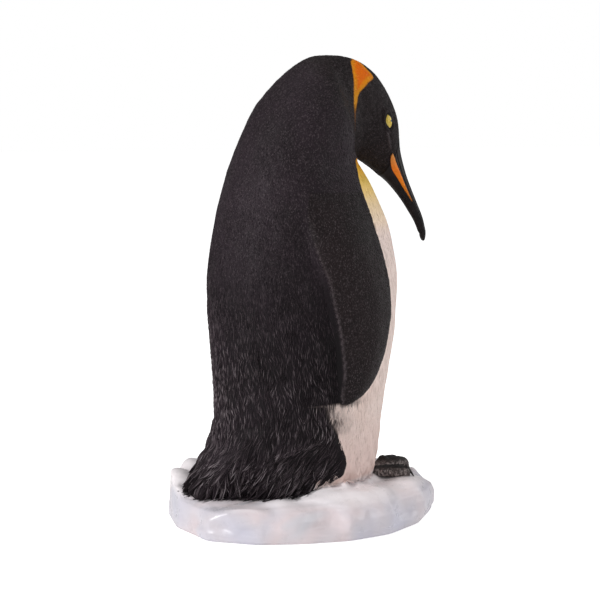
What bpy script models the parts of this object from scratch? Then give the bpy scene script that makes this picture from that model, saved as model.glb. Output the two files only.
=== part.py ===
"""A life-size cast statue of a king penguin standing on a slab of ice with its head bowed.

Metres, +Z up. The bird faces -Y, so its right side is at -X. The origin is the middle of the
slab's underside. The body is a stack of oval sections: level ones through the trunk, then a fan
of them that turns over the nape and down the face. Each named piece is one closed solid, and
neighbours keep GAP between them.
"""

import math

import bmesh
import bpy
import numpy as np

GAP = 0.0003  # clearance kept between neighbouring pieces
ICE_TOP = 0.070  # level of the ice that the bird stands on
FLOOR = ICE_TOP + GAP  # lowest level of everything that stands on the ice
RING_POINTS = 32  # points round each section of the body

# Corners of the hewn slab, one every 22.5 degrees from the front round the right side.
SLAB_CORNERS = [
    0.256, 0.249, 0.228, 0.214, 0.203, 0.201, 0.221, 0.250,
    0.248, 0.250, 0.224, 0.200, 0.190, 0.202, 0.222, 0.246,
]  # fmt: skip
# Its side from the underside to the standing area: level, share of the way to the corners.
SLAB_SIDE = [
    (0.0000, 0.985),
    (0.0160, 1.000),
    (0.0380, 1.005),
    (0.0520, 0.975),
    (0.0600, 0.925),
    (0.0650, 0.860),
    (0.0685, 0.800),
    (0.0700, 0.740),
    (0.0700, 0.400),
]

# Trunk, from the ice to the shoulders: level, back, front, half width.
TRUNK = [
    (0.0703, 0.160, -0.132, 0.120),
    (0.115, 0.165, -0.136, 0.128),
    (0.160, 0.169, -0.140, 0.134),
    (0.250, 0.172, -0.152, 0.143),
    (0.340, 0.180, -0.168, 0.148),
    (0.430, 0.183, -0.173, 0.148),
    (0.495, 0.177, -0.165, 0.143),
    (0.560, 0.165, -0.145, 0.133),
    (0.605, 0.153, -0.123, 0.123),
    (0.645, 0.141, -0.097, 0.110),
]

# Neck and head, from the shoulders over the nape to the face.
# Outer line y, z; inner line y, z; half width; how much fuller the throat side is.
NECK_AND_HEAD = [
    (0.141, 0.645, -0.097, 0.645, 0.110, 0.00),
    (0.103, 0.731, -0.089, 0.653, 0.105, 0.08),
    (0.071, 0.775, -0.081, 0.658, 0.099, 0.14),
    (0.027, 0.817, -0.077, 0.661, 0.091, 0.20),
    (-0.009, 0.837, -0.076, 0.662, 0.080, 0.24),
    (-0.042, 0.841, -0.080, 0.661, 0.059, 0.20),
    (-0.077, 0.839, -0.096, 0.659, 0.047, 0.12),
    (-0.110, 0.829, -0.104, 0.655, 0.0435, 0.08),
    (-0.139, 0.808, -0.111, 0.651, 0.0415, 0.05),
    (-0.162, 0.778, -0.120, 0.646, 0.0400, 0.02),
    (-0.178, 0.745, -0.131, 0.639, 0.0380, -0.02),
    (-0.184, 0.716, -0.141, 0.632, 0.0350, -0.04),
    (-0.186, 0.699, -0.149, 0.625, 0.0315, -0.04),
]
NAPE = 5.4  # place along NECK_AND_HEAD where the head leaves the neck

# Bill, from the face to the tip: ridge y, z; underside y, z; half width.
BILL = [
    (-0.1860, 0.6990, -0.1490, 0.6250, 0.0310),
    (-0.1885, 0.6800, -0.1580, 0.6190, 0.0265),
    (-0.1945, 0.6570, -0.1700, 0.6090, 0.0215),
    (-0.2055, 0.6250, -0.1845, 0.5940, 0.0165),
    (-0.2190, 0.5950, -0.2000, 0.5755, 0.0130),
    (-0.2315, 0.5690, -0.2130, 0.5570, 0.0108),
    (-0.2430, 0.5440, -0.2270, 0.5355, 0.0088),
    (-0.2505, 0.5190, -0.2378, 0.5110, 0.0064),
]
BILL_TIP = (-0.2480, 0.4985)
GAPE = 0.44  # share of the bill's depth above the line where it would open
GAPE_SHARE = 0.02  # share of the bill's depth left open along that line
PLATE_RUN = (0.12, 4.50)  # where along BILL each coloured plate starts and ends
PLATE_THICK = 0.0010

EYE_CENTRE = (0.0335, -0.1495, 0.7232)
EYE_HALF = (0.0065, 0.0085, 0.0150)  # across, front to back and along the head
EYE_LEAN = math.radians(-12)

# Flipper on the body's side: level, leading edge, trailing edge, in degrees round the body.
FLIPPER = [
    (0.600, 62.0, 104.0),
    (0.560, 60.0, 107.0),
    (0.500, 56.0, 103.5),
    (0.450, 52.0, 98.0),
    (0.400, 49.0, 93.0),
    (0.350, 49.5, 89.2),
    (0.315, 52.0, 87.2),
    (0.290, 55.5, 85.8),
    (0.265, 60.0, 85.4),
    (0.248, 66.5, 85.2),
    (0.236, 74.0, 85.0),
    (0.229, 80.5, 84.6),
]
FLIPPER_THICK = 0.017

# Tail wedge: out along Y, top level, half width.
TAIL = [
    (0.119, 0.240, 0.098),
    (0.159, 0.188, 0.092),
    (0.185, 0.140, 0.080),
    (0.203, 0.107, 0.062),
    (0.218, 0.082, 0.046),
]

FOOT_SIDE = 0.056  # from the middle plane to the middle of each foot
TOE_LENGTHS = (0.062, 0.067, 0.064)
TOE_SPREAD = math.radians(19)
TOE_RADII = (0.0125, 0.0125, 0.0100)
TOE_ARCHES = (0.008, 0.009, 0.001)
STEP_FORWARD = 0.007  # how far the right foot stands ahead of the middle, and the left behind
CLAW_LENGTH = 0.011

# Lumps of broken ice on the rim behind the tail: x, y, height, radius.
ICE_LUMPS = [
    (0.083, 0.218, 0.023, 0.036),
    (0.128, 0.184, 0.017, 0.032),
    (0.030, 0.245, 0.010, 0.024),
    (-0.020, -0.242, 0.010, 0.030),
    (0.160, -0.070, 0.008, 0.030),
    (-0.125, 0.185, 0.007, 0.030),
]


def clear_scene():
    for found in list(bpy.data.objects):
        bpy.data.objects.remove(found)


def between(stations, places):
    """Rows of a table read at fractional places, along a smooth cubic through the rows."""
    rows = np.asarray(stations, float)
    places = np.clip(np.atleast_1d(np.asarray(places, float)), 0, len(rows) - 1)
    low = np.minimum(places.astype(int), len(rows) - 2)
    slopes = np.gradient(rows, axis=0)
    t = (places - low)[:, None]
    a, b = rows[low], rows[low + 1]
    return (
        a * (2 * t**3 - 3 * t**2 + 1)
        + b * (3 * t**2 - 2 * t**3)
        + slopes[low] * (t**3 - 2 * t**2 + t)
        + slopes[low + 1] * (t**3 - t**2)
    )


def at_level(stations, level):
    """A row of a table whose first column is the level, read at any level."""
    rows = np.asarray(stations, float)
    order = np.argsort(rows[:, 0])
    place = np.interp(level, rows[order, 0], order)
    return between(stations, place)[0]


def material(name, colour, roughness):
    made = bpy.data.materials.new(name)
    made.use_nodes = True
    shader = made.node_tree.nodes["Principled BSDF"]
    shader.inputs["Base Color"].default_value = (*colour, 1)
    shader.inputs["Roughness"].default_value = roughness
    made.diffuse_color = (*colour, 1)
    return made


def solid(name, points, faces, finish, smooth=True, helper=False):
    """A closed mesh object in the scene; a helper is a cutter that is no piece of its own."""
    mesh = bpy.data.meshes.new(name)
    mesh.from_pydata([tuple(p) for p in points], [], faces)
    shape = bmesh.new()
    shape.from_mesh(mesh)
    bmesh.ops.remove_doubles(shape, verts=shape.verts, dist=1e-6)
    bmesh.ops.recalc_face_normals(shape, faces=shape.faces)
    shape.to_mesh(mesh)
    shape.free()
    if smooth:
        mesh.shade_smooth()
        mesh.set_sharp_from_angle(angle=math.radians(50))
    mesh.materials.append(finish)
    made = bpy.data.objects.new(name, mesh)
    made.hide_render = helper
    if helper:
        made.display_type = "WIRE"
    bpy.context.scene.collection.objects.link(made)
    return made


def loft(name, rings, finish, **options):
    """Joins rings of equal length into a skin, with a fan of triangles over each end."""
    rings = np.asarray(rings, float)
    count, around, _ = rings.shape
    points = list(rings.reshape(-1, 3)) + [rings[0].mean(axis=0), rings[-1].mean(axis=0)]
    faces = []
    for i in range(count - 1):
        for j in range(around):
            k = (j + 1) % around
            faces.append((i * around + j, i * around + k, (i + 1) * around + k, (i + 1) * around + j))
    last = (count - 1) * around
    for j in range(around):
        k = (j + 1) % around
        faces.append((count * around, j, k))
        faces.append((count * around + 1, last + k, last + j))
    return solid(name, points, faces, finish, **options)


def boolean(target, other, operation):
    step = target.modifiers.new(operation.lower(), "BOOLEAN")
    step.operation = operation
    step.object = other
    step.solver = "EXACT"


def level_section(row, grow=0.0, turns=None):
    """One level oval of the trunk. The angle runs from the front (0) round the right side (90)."""
    level, back, front, half_width = row
    turns = np.arange(RING_POINTS) * 2 * math.pi / RING_POINTS if turns is None else turns
    middle, half = (back + front) / 2, (back - front) / 2
    return np.stack(
        [
            -(half_width + grow) * np.sin(turns),
            middle - (half + grow) * np.cos(turns),
            np.full(len(turns), level),
        ],
        axis=1,
    )


def fan_section(row, shift=0.0):
    """One oval of the neck or head, in the plane through its outer and inner lines."""
    outer, inner = np.array([0, *row[0:2]]), np.array([0, *row[2:4]])
    half_width, fuller = row[4], row[5] if len(row) > 5 else 0.0
    turns = np.arange(RING_POINTS) * 2 * math.pi / RING_POINTS
    across = -half_width * np.sin(turns) * (1 + fuller * np.cos(turns))
    along = (1 - np.cos(turns)) / 2
    ring = inner + along[:, None] * (outer - inner)
    ring[:, 0] = across
    normal = np.cross([1.0, 0, 0], outer - inner)
    return ring + shift * normal / np.linalg.norm(normal)


def trunk(finish):
    """The trunk, and the slightly larger helper that what lies on the trunk is cut with."""
    rows = between(TRUNK, np.linspace(0, len(TRUNK) - 1, 19))
    rows[-1, 0] -= GAP
    made = loft("trunk", [level_section(row) for row in rows], finish)
    rows[0, 0] -= 0.03
    rows[-1, 0] += 2 * GAP
    cutter = loft("trunk_cutter", [level_section(row, GAP) for row in rows], finish, helper=True)
    return made, cutter


def neck(finish):
    rows = between(NECK_AND_HEAD, np.linspace(0, NAPE, 12))
    rings = [fan_section(row) for row in rows]
    rings[-1] = fan_section(rows[-1], shift=-GAP)
    return loft("neck", rings, finish)


def head(finish):
    rows = between(NECK_AND_HEAD, np.linspace(NAPE, len(NECK_AND_HEAD) - 1, 15))
    return loft("head", [fan_section(row) for row in rows], finish)


def bill_line(row, shares, grow=0.0):
    """Points on the right flank of one oval of the bill, at shares of its depth."""
    ridge, under = np.array([0, *row[0:2]]), np.array([0, *row[2:4]])
    turns = np.arccos(1 - 2 * np.asarray(shares))
    middle, half = (ridge + under) / 2, (ridge - under) / 2
    half = half * (1 + grow / np.linalg.norm(half))
    line = middle + np.cos(turns)[:, None] * half
    line[:, 0] = -(row[4] + grow) * np.sin(turns)
    return line


def bill_ring(row, start, end, grow=0.0, points=9):
    """Part of an oval of the bill: from one share of its depth to another, both sides."""
    turns = np.linspace(math.acos(1 - 2 * start), math.acos(1 - 2 * end), points)
    side = bill_line(row, (1 - np.cos(turns)) / 2, grow)
    first = 1 if start == 0 else 0
    last = -1 if end == 1 else None
    other = (side * (-1, 1, 1))[first:last][::-1]
    return np.concatenate([side, other])


def gape_at(place):
    """Share of the bill's depth above the gape, which runs down to the underside near the tip."""
    return GAPE + 0.38 * max(0.0, (place - 5.6) / 1.4) ** 2


def upper_bill(finish):
    places = np.linspace(0, len(BILL) - 1, 15)
    rings = [bill_ring(row, 0.0, gape_at(p) - GAPE_SHARE) for row, p in zip(between(BILL, places), places)]
    rings[0] = rings[0] + (0, -GAP, -GAP)
    rings.append(np.array([0, *BILL_TIP]) + (rings[-1] - rings[-1].mean(axis=0)) * 0.45)
    return loft("bill_upper", rings, finish)


def lower_bill(name, finish, grow=0.0, **options):
    places = np.linspace(0, len(BILL) - 1.3, 15)
    rings = [bill_ring(row, gape_at(p), 1.0, grow) for row, p in zip(between(BILL, places), places)]
    rings[0] = rings[0] + (0, -GAP, -GAP)
    return loft(name, rings, finish, **options)


def bill_plate(name, side, cutter, finish):
    """A coloured plate on the flank of the lower bill, tapering to a point towards the tip."""
    places = np.linspace(*PLATE_RUN, 9)
    rings = []
    for row, share in zip(between(BILL, places), np.linspace(0, 1, 9)):
        spread = 0.21 * math.sqrt(max(0.06, math.sin(math.pi * (0.12 + 0.86 * share)))) * (1 - 0.45 * share)
        shares = np.linspace(GAPE + 0.07, GAPE + 0.07 + spread, 5)
        ring = np.concatenate([bill_line(row, shares, -0.002), bill_line(row, shares, PLATE_THICK)[::-1]])
        ring[:, 0] *= -side
        rings.append(ring)
    made = loft(name, rings, finish)
    boolean(made, cutter, "DIFFERENCE")
    return made


def eye(name, side, grow, finish, **options):
    turns = np.linspace(0.12, math.pi - 0.12, 10)
    rings = []
    x, y, z = EYE_CENTRE
    for turn in turns:
        around = np.arange(16) * 2 * math.pi / 16
        ring = np.stack(
            [
                (EYE_HALF[0] + grow) * math.sin(turn) * np.cos(around),
                (EYE_HALF[1] + grow) * math.sin(turn) * np.sin(around),
                np.full(16, (EYE_HALF[2] + grow) * math.cos(turn)),
            ],
            axis=1,
        )
        cos, sin = math.cos(EYE_LEAN), math.sin(EYE_LEAN)
        along = ring[:, 1] * cos - ring[:, 2] * sin
        upward = ring[:, 1] * sin + ring[:, 2] * cos
        leaned = np.stack([ring[:, 0], along, upward], axis=1)
        rings.append((leaned + (x, y, z)) * (side, 1, 1))
    return loft(name, rings, finish, **options)


def flipper(name, side, cutter, finish):
    """A curved blade that lies along the side of the trunk: thick in the middle, thin at its edges."""
    rings = []
    for place in np.linspace(0, len(FLIPPER) - 1, 19):
        level, leading, trailing = between(FLIPPER, place)[0]
        row = at_level(TRUNK, level)
        share = place / (len(FLIPPER) - 1)
        across = np.linspace(0, 1, 11)
        turns = np.radians(leading + (trailing - leading) * across)
        swell = FLIPPER_THICK * np.power(np.sin(math.pi * across), 0.55) * min(1.0, 0.08 + 2.6 * share)
        swell *= min(1.0, 0.45 + 2.5 * (1 - share))
        outside = level_section(row, turns=turns)
        outward = level_section(row, 0.01, turns) - outside
        outside = outside + outward / 0.01 * (swell + 0.0024)[:, None]
        inside = level_section(row, -0.006, turns)
        ring = np.concatenate([outside, inside[::-1]])
        ring[:, 0] *= side
        rings.append(ring)
    made = loft(name, rings, finish)
    boolean(made, cutter, "DIFFERENCE")
    return made


def tail_wedge(name, finish, grow=0.0, **options):
    rings = []
    for out, top, half_width in between(TAIL, np.linspace(0, len(TAIL) - 1, 9)):
        turns = np.linspace(0, math.pi, 17)
        arch = np.stack(
            [
                (half_width + grow) * np.cos(turns),
                out - 0.10 * half_width * np.cos(turns) ** 2,
                FLOOR + (top + grow - FLOOR) * np.sin(turns) ** 0.8,
            ],
            axis=1,
        )
        arch[[0, -1], 2] -= grow / 2
        rings.append(arch)
    rings[-1] = rings[-1] + (0, grow, 0)
    return loft(name, rings, finish, **options)


def tail(cutter, finish):
    """The wedge of stiff tail feathers that props the bird from behind, and its helper."""
    made = tail_wedge("tail", finish)
    boolean(made, cutter, "DIFFERENCE")
    return made, tail_wedge("tail_cutter", finish, grow=GAP, helper=True)


def capsule(name, start, end, radius, arch, finish, points=12, steps=9, **options):
    """A toe: a round bar with domed ends that arches upwards, flat where it would pass the floor."""
    start, end = np.array(start), np.array(end)
    along = end - start
    side = np.cross(along, (0, 0, 1.0))
    side /= np.linalg.norm(side)
    rings = []
    for share in np.linspace(0, 1, steps):
        centre = start + along * share + np.array([0, 0, arch * math.sin(math.pi * share)])
        dome = math.sqrt(max(0.0, 1 - (2 * abs(share - 0.5)) ** 5))
        size = radius * max(dome, 0.30)
        around = np.arange(points) * 2 * math.pi / points
        sideways, upwards = np.cos(around)[:, None] * side, np.sin(around)[:, None] * np.array([0, 0, 1.0])
        ring = centre + (sideways + upwards) * size
        ring[:, 2] = np.maximum(ring[:, 2], FLOOR)
        rings.append(ring)
    return loft(name, rings, finish, **options)


def toe_ends(side, toe):
    """Where a toe starts and ends. Toe 0 is the inner one, toe 2 the outer one."""
    heading = side * TOE_SPREAD * (toe - 1) + side * math.radians(5)
    direction = np.array([math.sin(heading), -math.cos(heading), 0])
    ahead = -STEP_FORWARD * (1 if side < 0 else -1)
    start = np.array([side * FOOT_SIDE, -0.110 + ahead, FLOOR + TOE_RADII[toe] * 0.9])
    return start, start + direction * TOE_LENGTHS[toe], direction


def foot(name, side, cutter, finish):
    """Three toes joined by an instep, with what lies inside the belly cut away."""
    start, end, _ = toe_ends(side, 1)
    end = start + (end - start) * 0.62
    made = capsule(name, start, end, TOE_RADII[1] * 1.15, TOE_ARCHES[1], finish, points=16)
    for toe in range(3):
        start, end, _ = toe_ends(side, toe)
        shape = (start, end, TOE_RADII[toe], TOE_ARCHES[toe])
        helper = capsule(f"{name}_toe_{toe}", *shape, finish, helper=True)
        boolean(made, helper, "UNION")
    boolean(made, cutter, "DIFFERENCE")
    return made


def claw(name, side, toe, finish):
    """A short hooked claw that starts just ahead of its toe's end."""
    _, end, direction = toe_ends(side, toe)
    rings = []
    across = np.cross(direction, (0, 0, 1.0))
    for share in np.linspace(0, 1, 6):
        drop = 0.0145 * share**1.6
        centre = end + direction * (0.0012 + CLAW_LENGTH * share) + np.array([0, 0, 0.0065 - drop])
        size = 0.0042 * (1 - 0.85 * share)
        around = np.arange(10) * 2 * math.pi / 10
        sideways, upwards = np.cos(around)[:, None] * across, np.sin(around)[:, None] * np.array([0, 0, 1.0])
        ring = centre + (sideways + upwards) * size
        ring[:, 2] = np.maximum(ring[:, 2], FLOOR)
        rings.append(ring)
    return loft(name, rings, finish)


def slab(cutter, finish):
    """The hewn slab of ice: a flat underside, faceted sides, a rim, and broken lumps on it."""
    corner_turns = np.arange(len(SLAB_CORNERS) + 1) * 2 * math.pi / len(SLAB_CORNERS)
    reach = np.array(SLAB_CORNERS + SLAB_CORNERS[:1])
    corners = np.stack([-np.sin(corner_turns), -np.cos(corner_turns)], axis=1) * reach[:, None]
    share = np.arange(64) / 4 + 0.5
    low, part = share.astype(int) % 16, (share % 1)[:, None]
    outline = corners[low] * (1 - part) + corners[low + 1] * part
    outline -= (outline.max(axis=0) + outline.min(axis=0)) / 2
    rings = []
    for level, share in SLAB_SIDE:
        ring = np.column_stack([outline * share, np.full(len(outline), level)])
        if level > 0.05 and share > 0.75:
            for x, y, height, radius in ICE_LUMPS:
                away = np.hypot(ring[:, 0] - x, ring[:, 1] - y) / radius
                ring[:, 2] += height * np.clip(1 - away**2, 0, None)
        rings.append(ring)
    made = loft("ice_slab", rings, finish)
    boolean(made, cutter, "DIFFERENCE")


def main():
    clear_scene()
    black = material("black_plumage", (0.020, 0.018, 0.021), 0.50)
    pale_ice = material("ice", (0.78, 0.78, 0.83), 0.18)
    horn = material("black_horn", (0.010, 0.009, 0.010), 0.35)
    orange = material("orange_plate", (0.80, 0.25, 0.03), 0.40)
    iris = material("eye", (0.62, 0.55, 0.16), 0.15)
    skin = material("foot_skin", (0.035, 0.032, 0.034), 0.55)

    _, cutter = trunk(black)
    neck(black)
    head_piece = head(black)
    upper_bill(horn)
    lower_bill("bill_lower", horn)
    bill_cutter = lower_bill("bill_cutter", horn, grow=GAP, helper=True)
    _, tail_cutter = tail(cutter, black)
    slab(tail_cutter, pale_ice)
    for word, side in (("right", -1), ("left", 1)):
        flipper(f"flipper_{word}", side, cutter, black)
        foot(f"foot_{word}", side, cutter, skin)
        for toe in range(3):
            claw(f"claw_{word}_{toe + 1}", side, toe, horn)
        eye(f"eye_{word}", side, 0.0, iris)
        boolean(head_piece, eye(f"eye_{word}_socket", side, GAP, iris, helper=True), "DIFFERENCE")
        bill_plate(f"bill_plate_{word}", side, bill_cutter, orange)


main()
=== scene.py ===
# King penguin statue on its slab of ice: the looks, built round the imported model.
# Metres, +Z up. The bird faces -Y and its right side is at -X.
import math

import bpy
import numpy as np
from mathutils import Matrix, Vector


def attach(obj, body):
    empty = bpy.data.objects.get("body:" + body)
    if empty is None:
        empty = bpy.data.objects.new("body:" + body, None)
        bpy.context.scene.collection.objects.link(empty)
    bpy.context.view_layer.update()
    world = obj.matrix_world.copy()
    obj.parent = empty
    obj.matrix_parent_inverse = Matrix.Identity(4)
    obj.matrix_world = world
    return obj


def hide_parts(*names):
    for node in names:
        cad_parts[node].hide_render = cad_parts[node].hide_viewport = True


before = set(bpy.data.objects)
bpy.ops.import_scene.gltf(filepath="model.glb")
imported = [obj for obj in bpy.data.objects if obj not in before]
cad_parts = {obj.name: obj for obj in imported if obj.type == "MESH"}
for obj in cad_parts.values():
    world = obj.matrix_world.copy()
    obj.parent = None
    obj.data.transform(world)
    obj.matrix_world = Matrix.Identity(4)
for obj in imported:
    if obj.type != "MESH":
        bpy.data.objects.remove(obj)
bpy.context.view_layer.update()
fullTurn = 2 * math.pi
upward = np.array([0, 0, 1.0])
print("frame loaded")


# A smooth cubic step: 0 at low and before it, 1 at high and beyond. Low may be the larger of the two.
def smoothStep(low, high, x):
    t = np.clip((np.asarray(x, float) - low) / (high - low), 0, 1)
    return t * t * (3 - 2 * t)


# Vectors brought to a length of 1.
def unit(vectors):
    return vectors / np.maximum(np.linalg.norm(vectors, axis=-1, keepdims=True), 1e-12)


# A bell curve: 1 at its middle, and 1/e a width away from it.
def bell(x, middle, width):
    return np.exp(-(((x - middle) / width) ** 2))


# The bird's own side: -1 is its right, 1 its left.
def sideWord(side):
    return "right" if side < 0 else "left"


# Rows of a table at fractional places, on a cubic that leaves each row at the slope of its neighbours.
def readStations(stations, places):
    rows = np.asarray(stations, float)
    places = np.clip(np.asarray(places, float), 0, len(rows) - 1)
    low = np.minimum(places.astype(int), len(rows) - 2)
    slopes = np.gradient(rows, axis=0)
    t = (places - low)[..., None]
    return (
        rows[low] * (2 * t**3 - 3 * t**2 + 1)
        + rows[low + 1] * (3 * t**2 - 2 * t**3)
        + slopes[low] * (t**3 - 2 * t**2 + t)
        + slopes[low + 1] * (t**3 - t**2)
    )


# The same, found by the value in the table's first column, which may rise or fall.
def readByFirst(stations, value):
    rows = np.asarray(stations, float)
    order = np.argsort(rows[:, 0])
    return readStations(rows, np.interp(value, rows[order, 0], order.astype(float)))


# Sum of a few plane waves in random directions: a smooth unevenness of about -1 to 1.
def wobble(points, size, seed, waves=9):
    rng = np.random.default_rng(seed)
    headings = unit(rng.normal(size=(waves, points.shape[-1])))
    headings *= (fullTurn / size * rng.uniform(0.6, 1.5, waves))[:, None]
    return np.sin(points @ headings.T + rng.uniform(0, fullTurn, waves)).sum(axis=-1) / math.sqrt(waves / 2)


# Faces of a grid of rows by columns that closes round on itself, with a fan over each end.
# The fans meet in two more points that stand after the grid's own.
def tubeFaces(rows, columns):
    i, j = np.meshgrid(np.arange(rows - 1), np.arange(columns), indexing="ij")
    k = (j + 1) % columns
    here, above = i * columns, (i + 1) * columns
    quads = np.stack([here + j, here + k, above + k, above + j], axis=-1)
    j = np.arange(columns)
    k = (j + 1) % columns
    last = (rows - 1) * columns
    start = np.stack([np.full(columns, rows * columns), k, j], axis=1)
    end = np.stack([np.full(columns, rows * columns + 1), last + j, last + k], axis=1)
    return quads.reshape(-1, 4).tolist() + start.tolist() + end.tolist()


# A grid's points in one list, with the middles of its first and last rows after them.
def withEnds(grid):
    ends = [grid[0].mean(axis=0)], [grid[-1].mean(axis=0)]
    return np.concatenate([grid.reshape(-1, grid.shape[-1]), *ends])


# Puts points and faces into a piece that rides on the statue and stands for the named nodes.
# Fields are numbers kept at every point for the material to read.
def makePiece(name, points, faces, material, stands=(), fields=None):
    mesh = bpy.data.meshes.new(name)
    mesh.from_pydata(np.asarray(points).reshape(-1, 3).tolist(), [], faces)
    mesh.polygons.foreach_set("use_smooth", np.ones(len(mesh.polygons), bool))
    for label, values in (fields or {}).items():
        kept = mesh.attributes.new(label, "FLOAT", "POINT")
        kept.data.foreach_set("value", np.asarray(values, np.float32).ravel())
    mesh.materials.append(material)
    piece = bpy.data.objects.new(name, mesh)
    bpy.context.scene.collection.objects.link(piece)
    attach(piece, "root")
    if stands:
        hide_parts(*stands)
    return piece


# A map from a pair of numbers at every point. Faces that cross the seam at 1 keep together there.
def makeMap(piece, label, pairs):
    mesh = piece.data
    corners = np.zeros(len(mesh.loops), np.int32)
    mesh.loops.foreach_get("vertex_index", corners)
    uv = np.asarray(pairs, float)[corners]
    starts = np.zeros(len(mesh.polygons), np.int32)
    mesh.polygons.foreach_get("loop_start", starts)
    far = np.maximum.reduceat(uv[:, 0], starts) - np.minimum.reduceat(uv[:, 0], starts) > 0.5
    sizes = np.diff(np.append(starts, len(uv)))
    crossing = np.repeat(far, sizes) & (uv[:, 0] < 0.5)
    uv[crossing, 0] += 1
    mesh.uv_layers.new(name=label).data.foreach_set("uv", uv.astype(np.float32).ravel())


# Colour given as red, green and blue from 0 to 255 on a screen, in the linear numbers that nodes take.
def tint(red, green, blue):
    share = np.array([red, green, blue]) / 255
    linear = np.where(share <= 0.04045, share / 12.92, ((share + 0.055) / 1.055) ** 2.4)
    return (*linear.tolist(), 1.0)


# A material being wired: each call adds one node and returns its output.
class Finish:
    def __init__(self, name, **sockets):
        self.material = bpy.data.materials.new(name)
        self.material.use_nodes = True
        self.nodes = self.material.node_tree.nodes
        self.links = self.material.node_tree.links
        self.shader = self.nodes["Principled BSDF"]
        for label, value in sockets.items():
            self.shader.inputs[label.replace("_", " ")].default_value = value
        self.place = self.nodes.new("ShaderNodeTexCoord").outputs["Object"]

    def feed(self, socket, value):
        if isinstance(value, bpy.types.NodeSocket):
            self.links.new(value, socket)
        elif value is not None:
            socket.default_value = value

    def map(self, label):
        node = self.nodes.new("ShaderNodeUVMap")
        node.uv_map = label
        return node.outputs["UV"]

    def field(self, label):
        node = self.nodes.new("ShaderNodeAttribute")
        node.attribute_name = label
        return node.outputs["Fac"]

    def scaled(self, vector, scale):
        node = self.nodes.new("ShaderNodeMapping")
        node.inputs["Scale"].default_value = scale
        self.feed(node.inputs["Vector"], vector)
        return node.outputs["Vector"]

    def noise(self, scale, detail=3.0, roughness=0.55, distortion=0.0, vector=None):
        node = self.nodes.new("ShaderNodeTexNoise")
        self.feed(node.inputs["Vector"], vector or self.place)
        numbers = {"Scale": scale, "Detail": detail, "Roughness": roughness, "Distortion": distortion}
        for label, value in numbers.items():
            node.inputs[label].default_value = value
        return node.outputs["Fac"]

    def sums(self, operation, a, b=None, c=None):
        node = self.nodes.new("ShaderNodeMath")
        node.operation = operation
        for socket, value in zip(node.inputs, (a, b, c)):
            self.feed(socket, value)
        return node.outputs[0]

    def times(self, a, b):
        return self.sums("MULTIPLY", a, b)

    # A value shaken up and down by a fine noise, for edges that aren't ruled.
    def shaken(self, value, amount, scale, detail=2.0, roughness=0.55):
        stray = self.sums("SUBTRACT", self.noise(scale, detail, roughness), 0.5)
        return self.sums("MULTIPLY_ADD", stray, amount, value)

    def range(self, value, low, high, newLow=0.0, newHigh=1.0, smooth=True):
        node = self.nodes.new("ShaderNodeMapRange")
        node.interpolation_type = "SMOOTHSTEP" if smooth else "LINEAR"
        for socket, number in zip(node.inputs, (value, low, high, newLow, newHigh)):
            self.feed(socket, number)
        return node.outputs[0]

    # Stops are pairs of a place and a screen colour.
    def ramp(self, value, stops):
        node = self.nodes.new("ShaderNodeValToRGB")
        band = node.color_ramp
        while len(band.elements) < len(stops):
            band.elements.new(0.5)
        for element, (position, colour) in zip(band.elements, stops):
            element.position = position
            element.color = tint(*colour)
        self.feed(node.inputs[0], value)
        return node.outputs[0]

    # Lays one colour over another by a share. Each is an output or a screen colour.
    def blend(self, share, under, over):
        node = self.nodes.new("ShaderNodeMix")
        node.data_type = "RGBA"
        self.feed(node.inputs[0], share)
        for socket, colour in ((node.inputs[6], under), (node.inputs[7], over)):
            self.feed(socket, tint(*colour) if isinstance(colour, tuple) else colour)
        return node.outputs[2]

    def axis(self, letter):
        node = self.nodes.new("ShaderNodeSeparateXYZ")
        self.feed(node.inputs[0], self.place)
        return node.outputs[letter]

    def bump(self, height, strength, distance, under=None):
        node = self.nodes.new("ShaderNodeBump")
        node.inputs["Strength"].default_value = strength
        node.inputs["Distance"].default_value = distance
        self.feed(node.inputs["Height"], height)
        self.feed(node.inputs["Normal"], under)
        return node.outputs["Normal"]

    def set(self, **sockets):
        for label, value in sockets.items():
            self.feed(self.shader.inputs[label.replace("_", " ")], value)
        return self.material


camera = {
    "heading": math.radians(25),  # how far behind the right side it stands
    "pitch": math.radians(7.6),
    "away": 2.4,
    "height": 0.72,
    "ahead": 0.009,
    "lens": 79.62,
    "sensor": 36,
    "shift": -0.001667,
    "nearest": 0.05,
}


# Stands off to the bird's right, a little behind it, and looks down by the pitch.
def placeCamera():
    lens = bpy.data.cameras.new("camera")
    lens.lens = camera["lens"]
    lens.sensor_width = camera["sensor"]
    lens.shift_x = camera["shift"]
    lens.clip_start = camera["nearest"]
    stand = bpy.data.objects.new("camera", lens)
    cos, sin = math.cos(camera["heading"]), math.sin(camera["heading"])
    stand.location = (-camera["away"] * cos, camera["away"] * sin + camera["ahead"], camera["height"])
    level = math.cos(camera["pitch"])
    ahead = Vector((cos * level, -sin * level, -math.sin(camera["pitch"])))
    stand.rotation_euler = ahead.to_track_quat("-Z", "Y").to_euler()
    bpy.context.scene.collection.objects.link(stand)
    bpy.context.scene.camera = stand


placeCamera()

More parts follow.
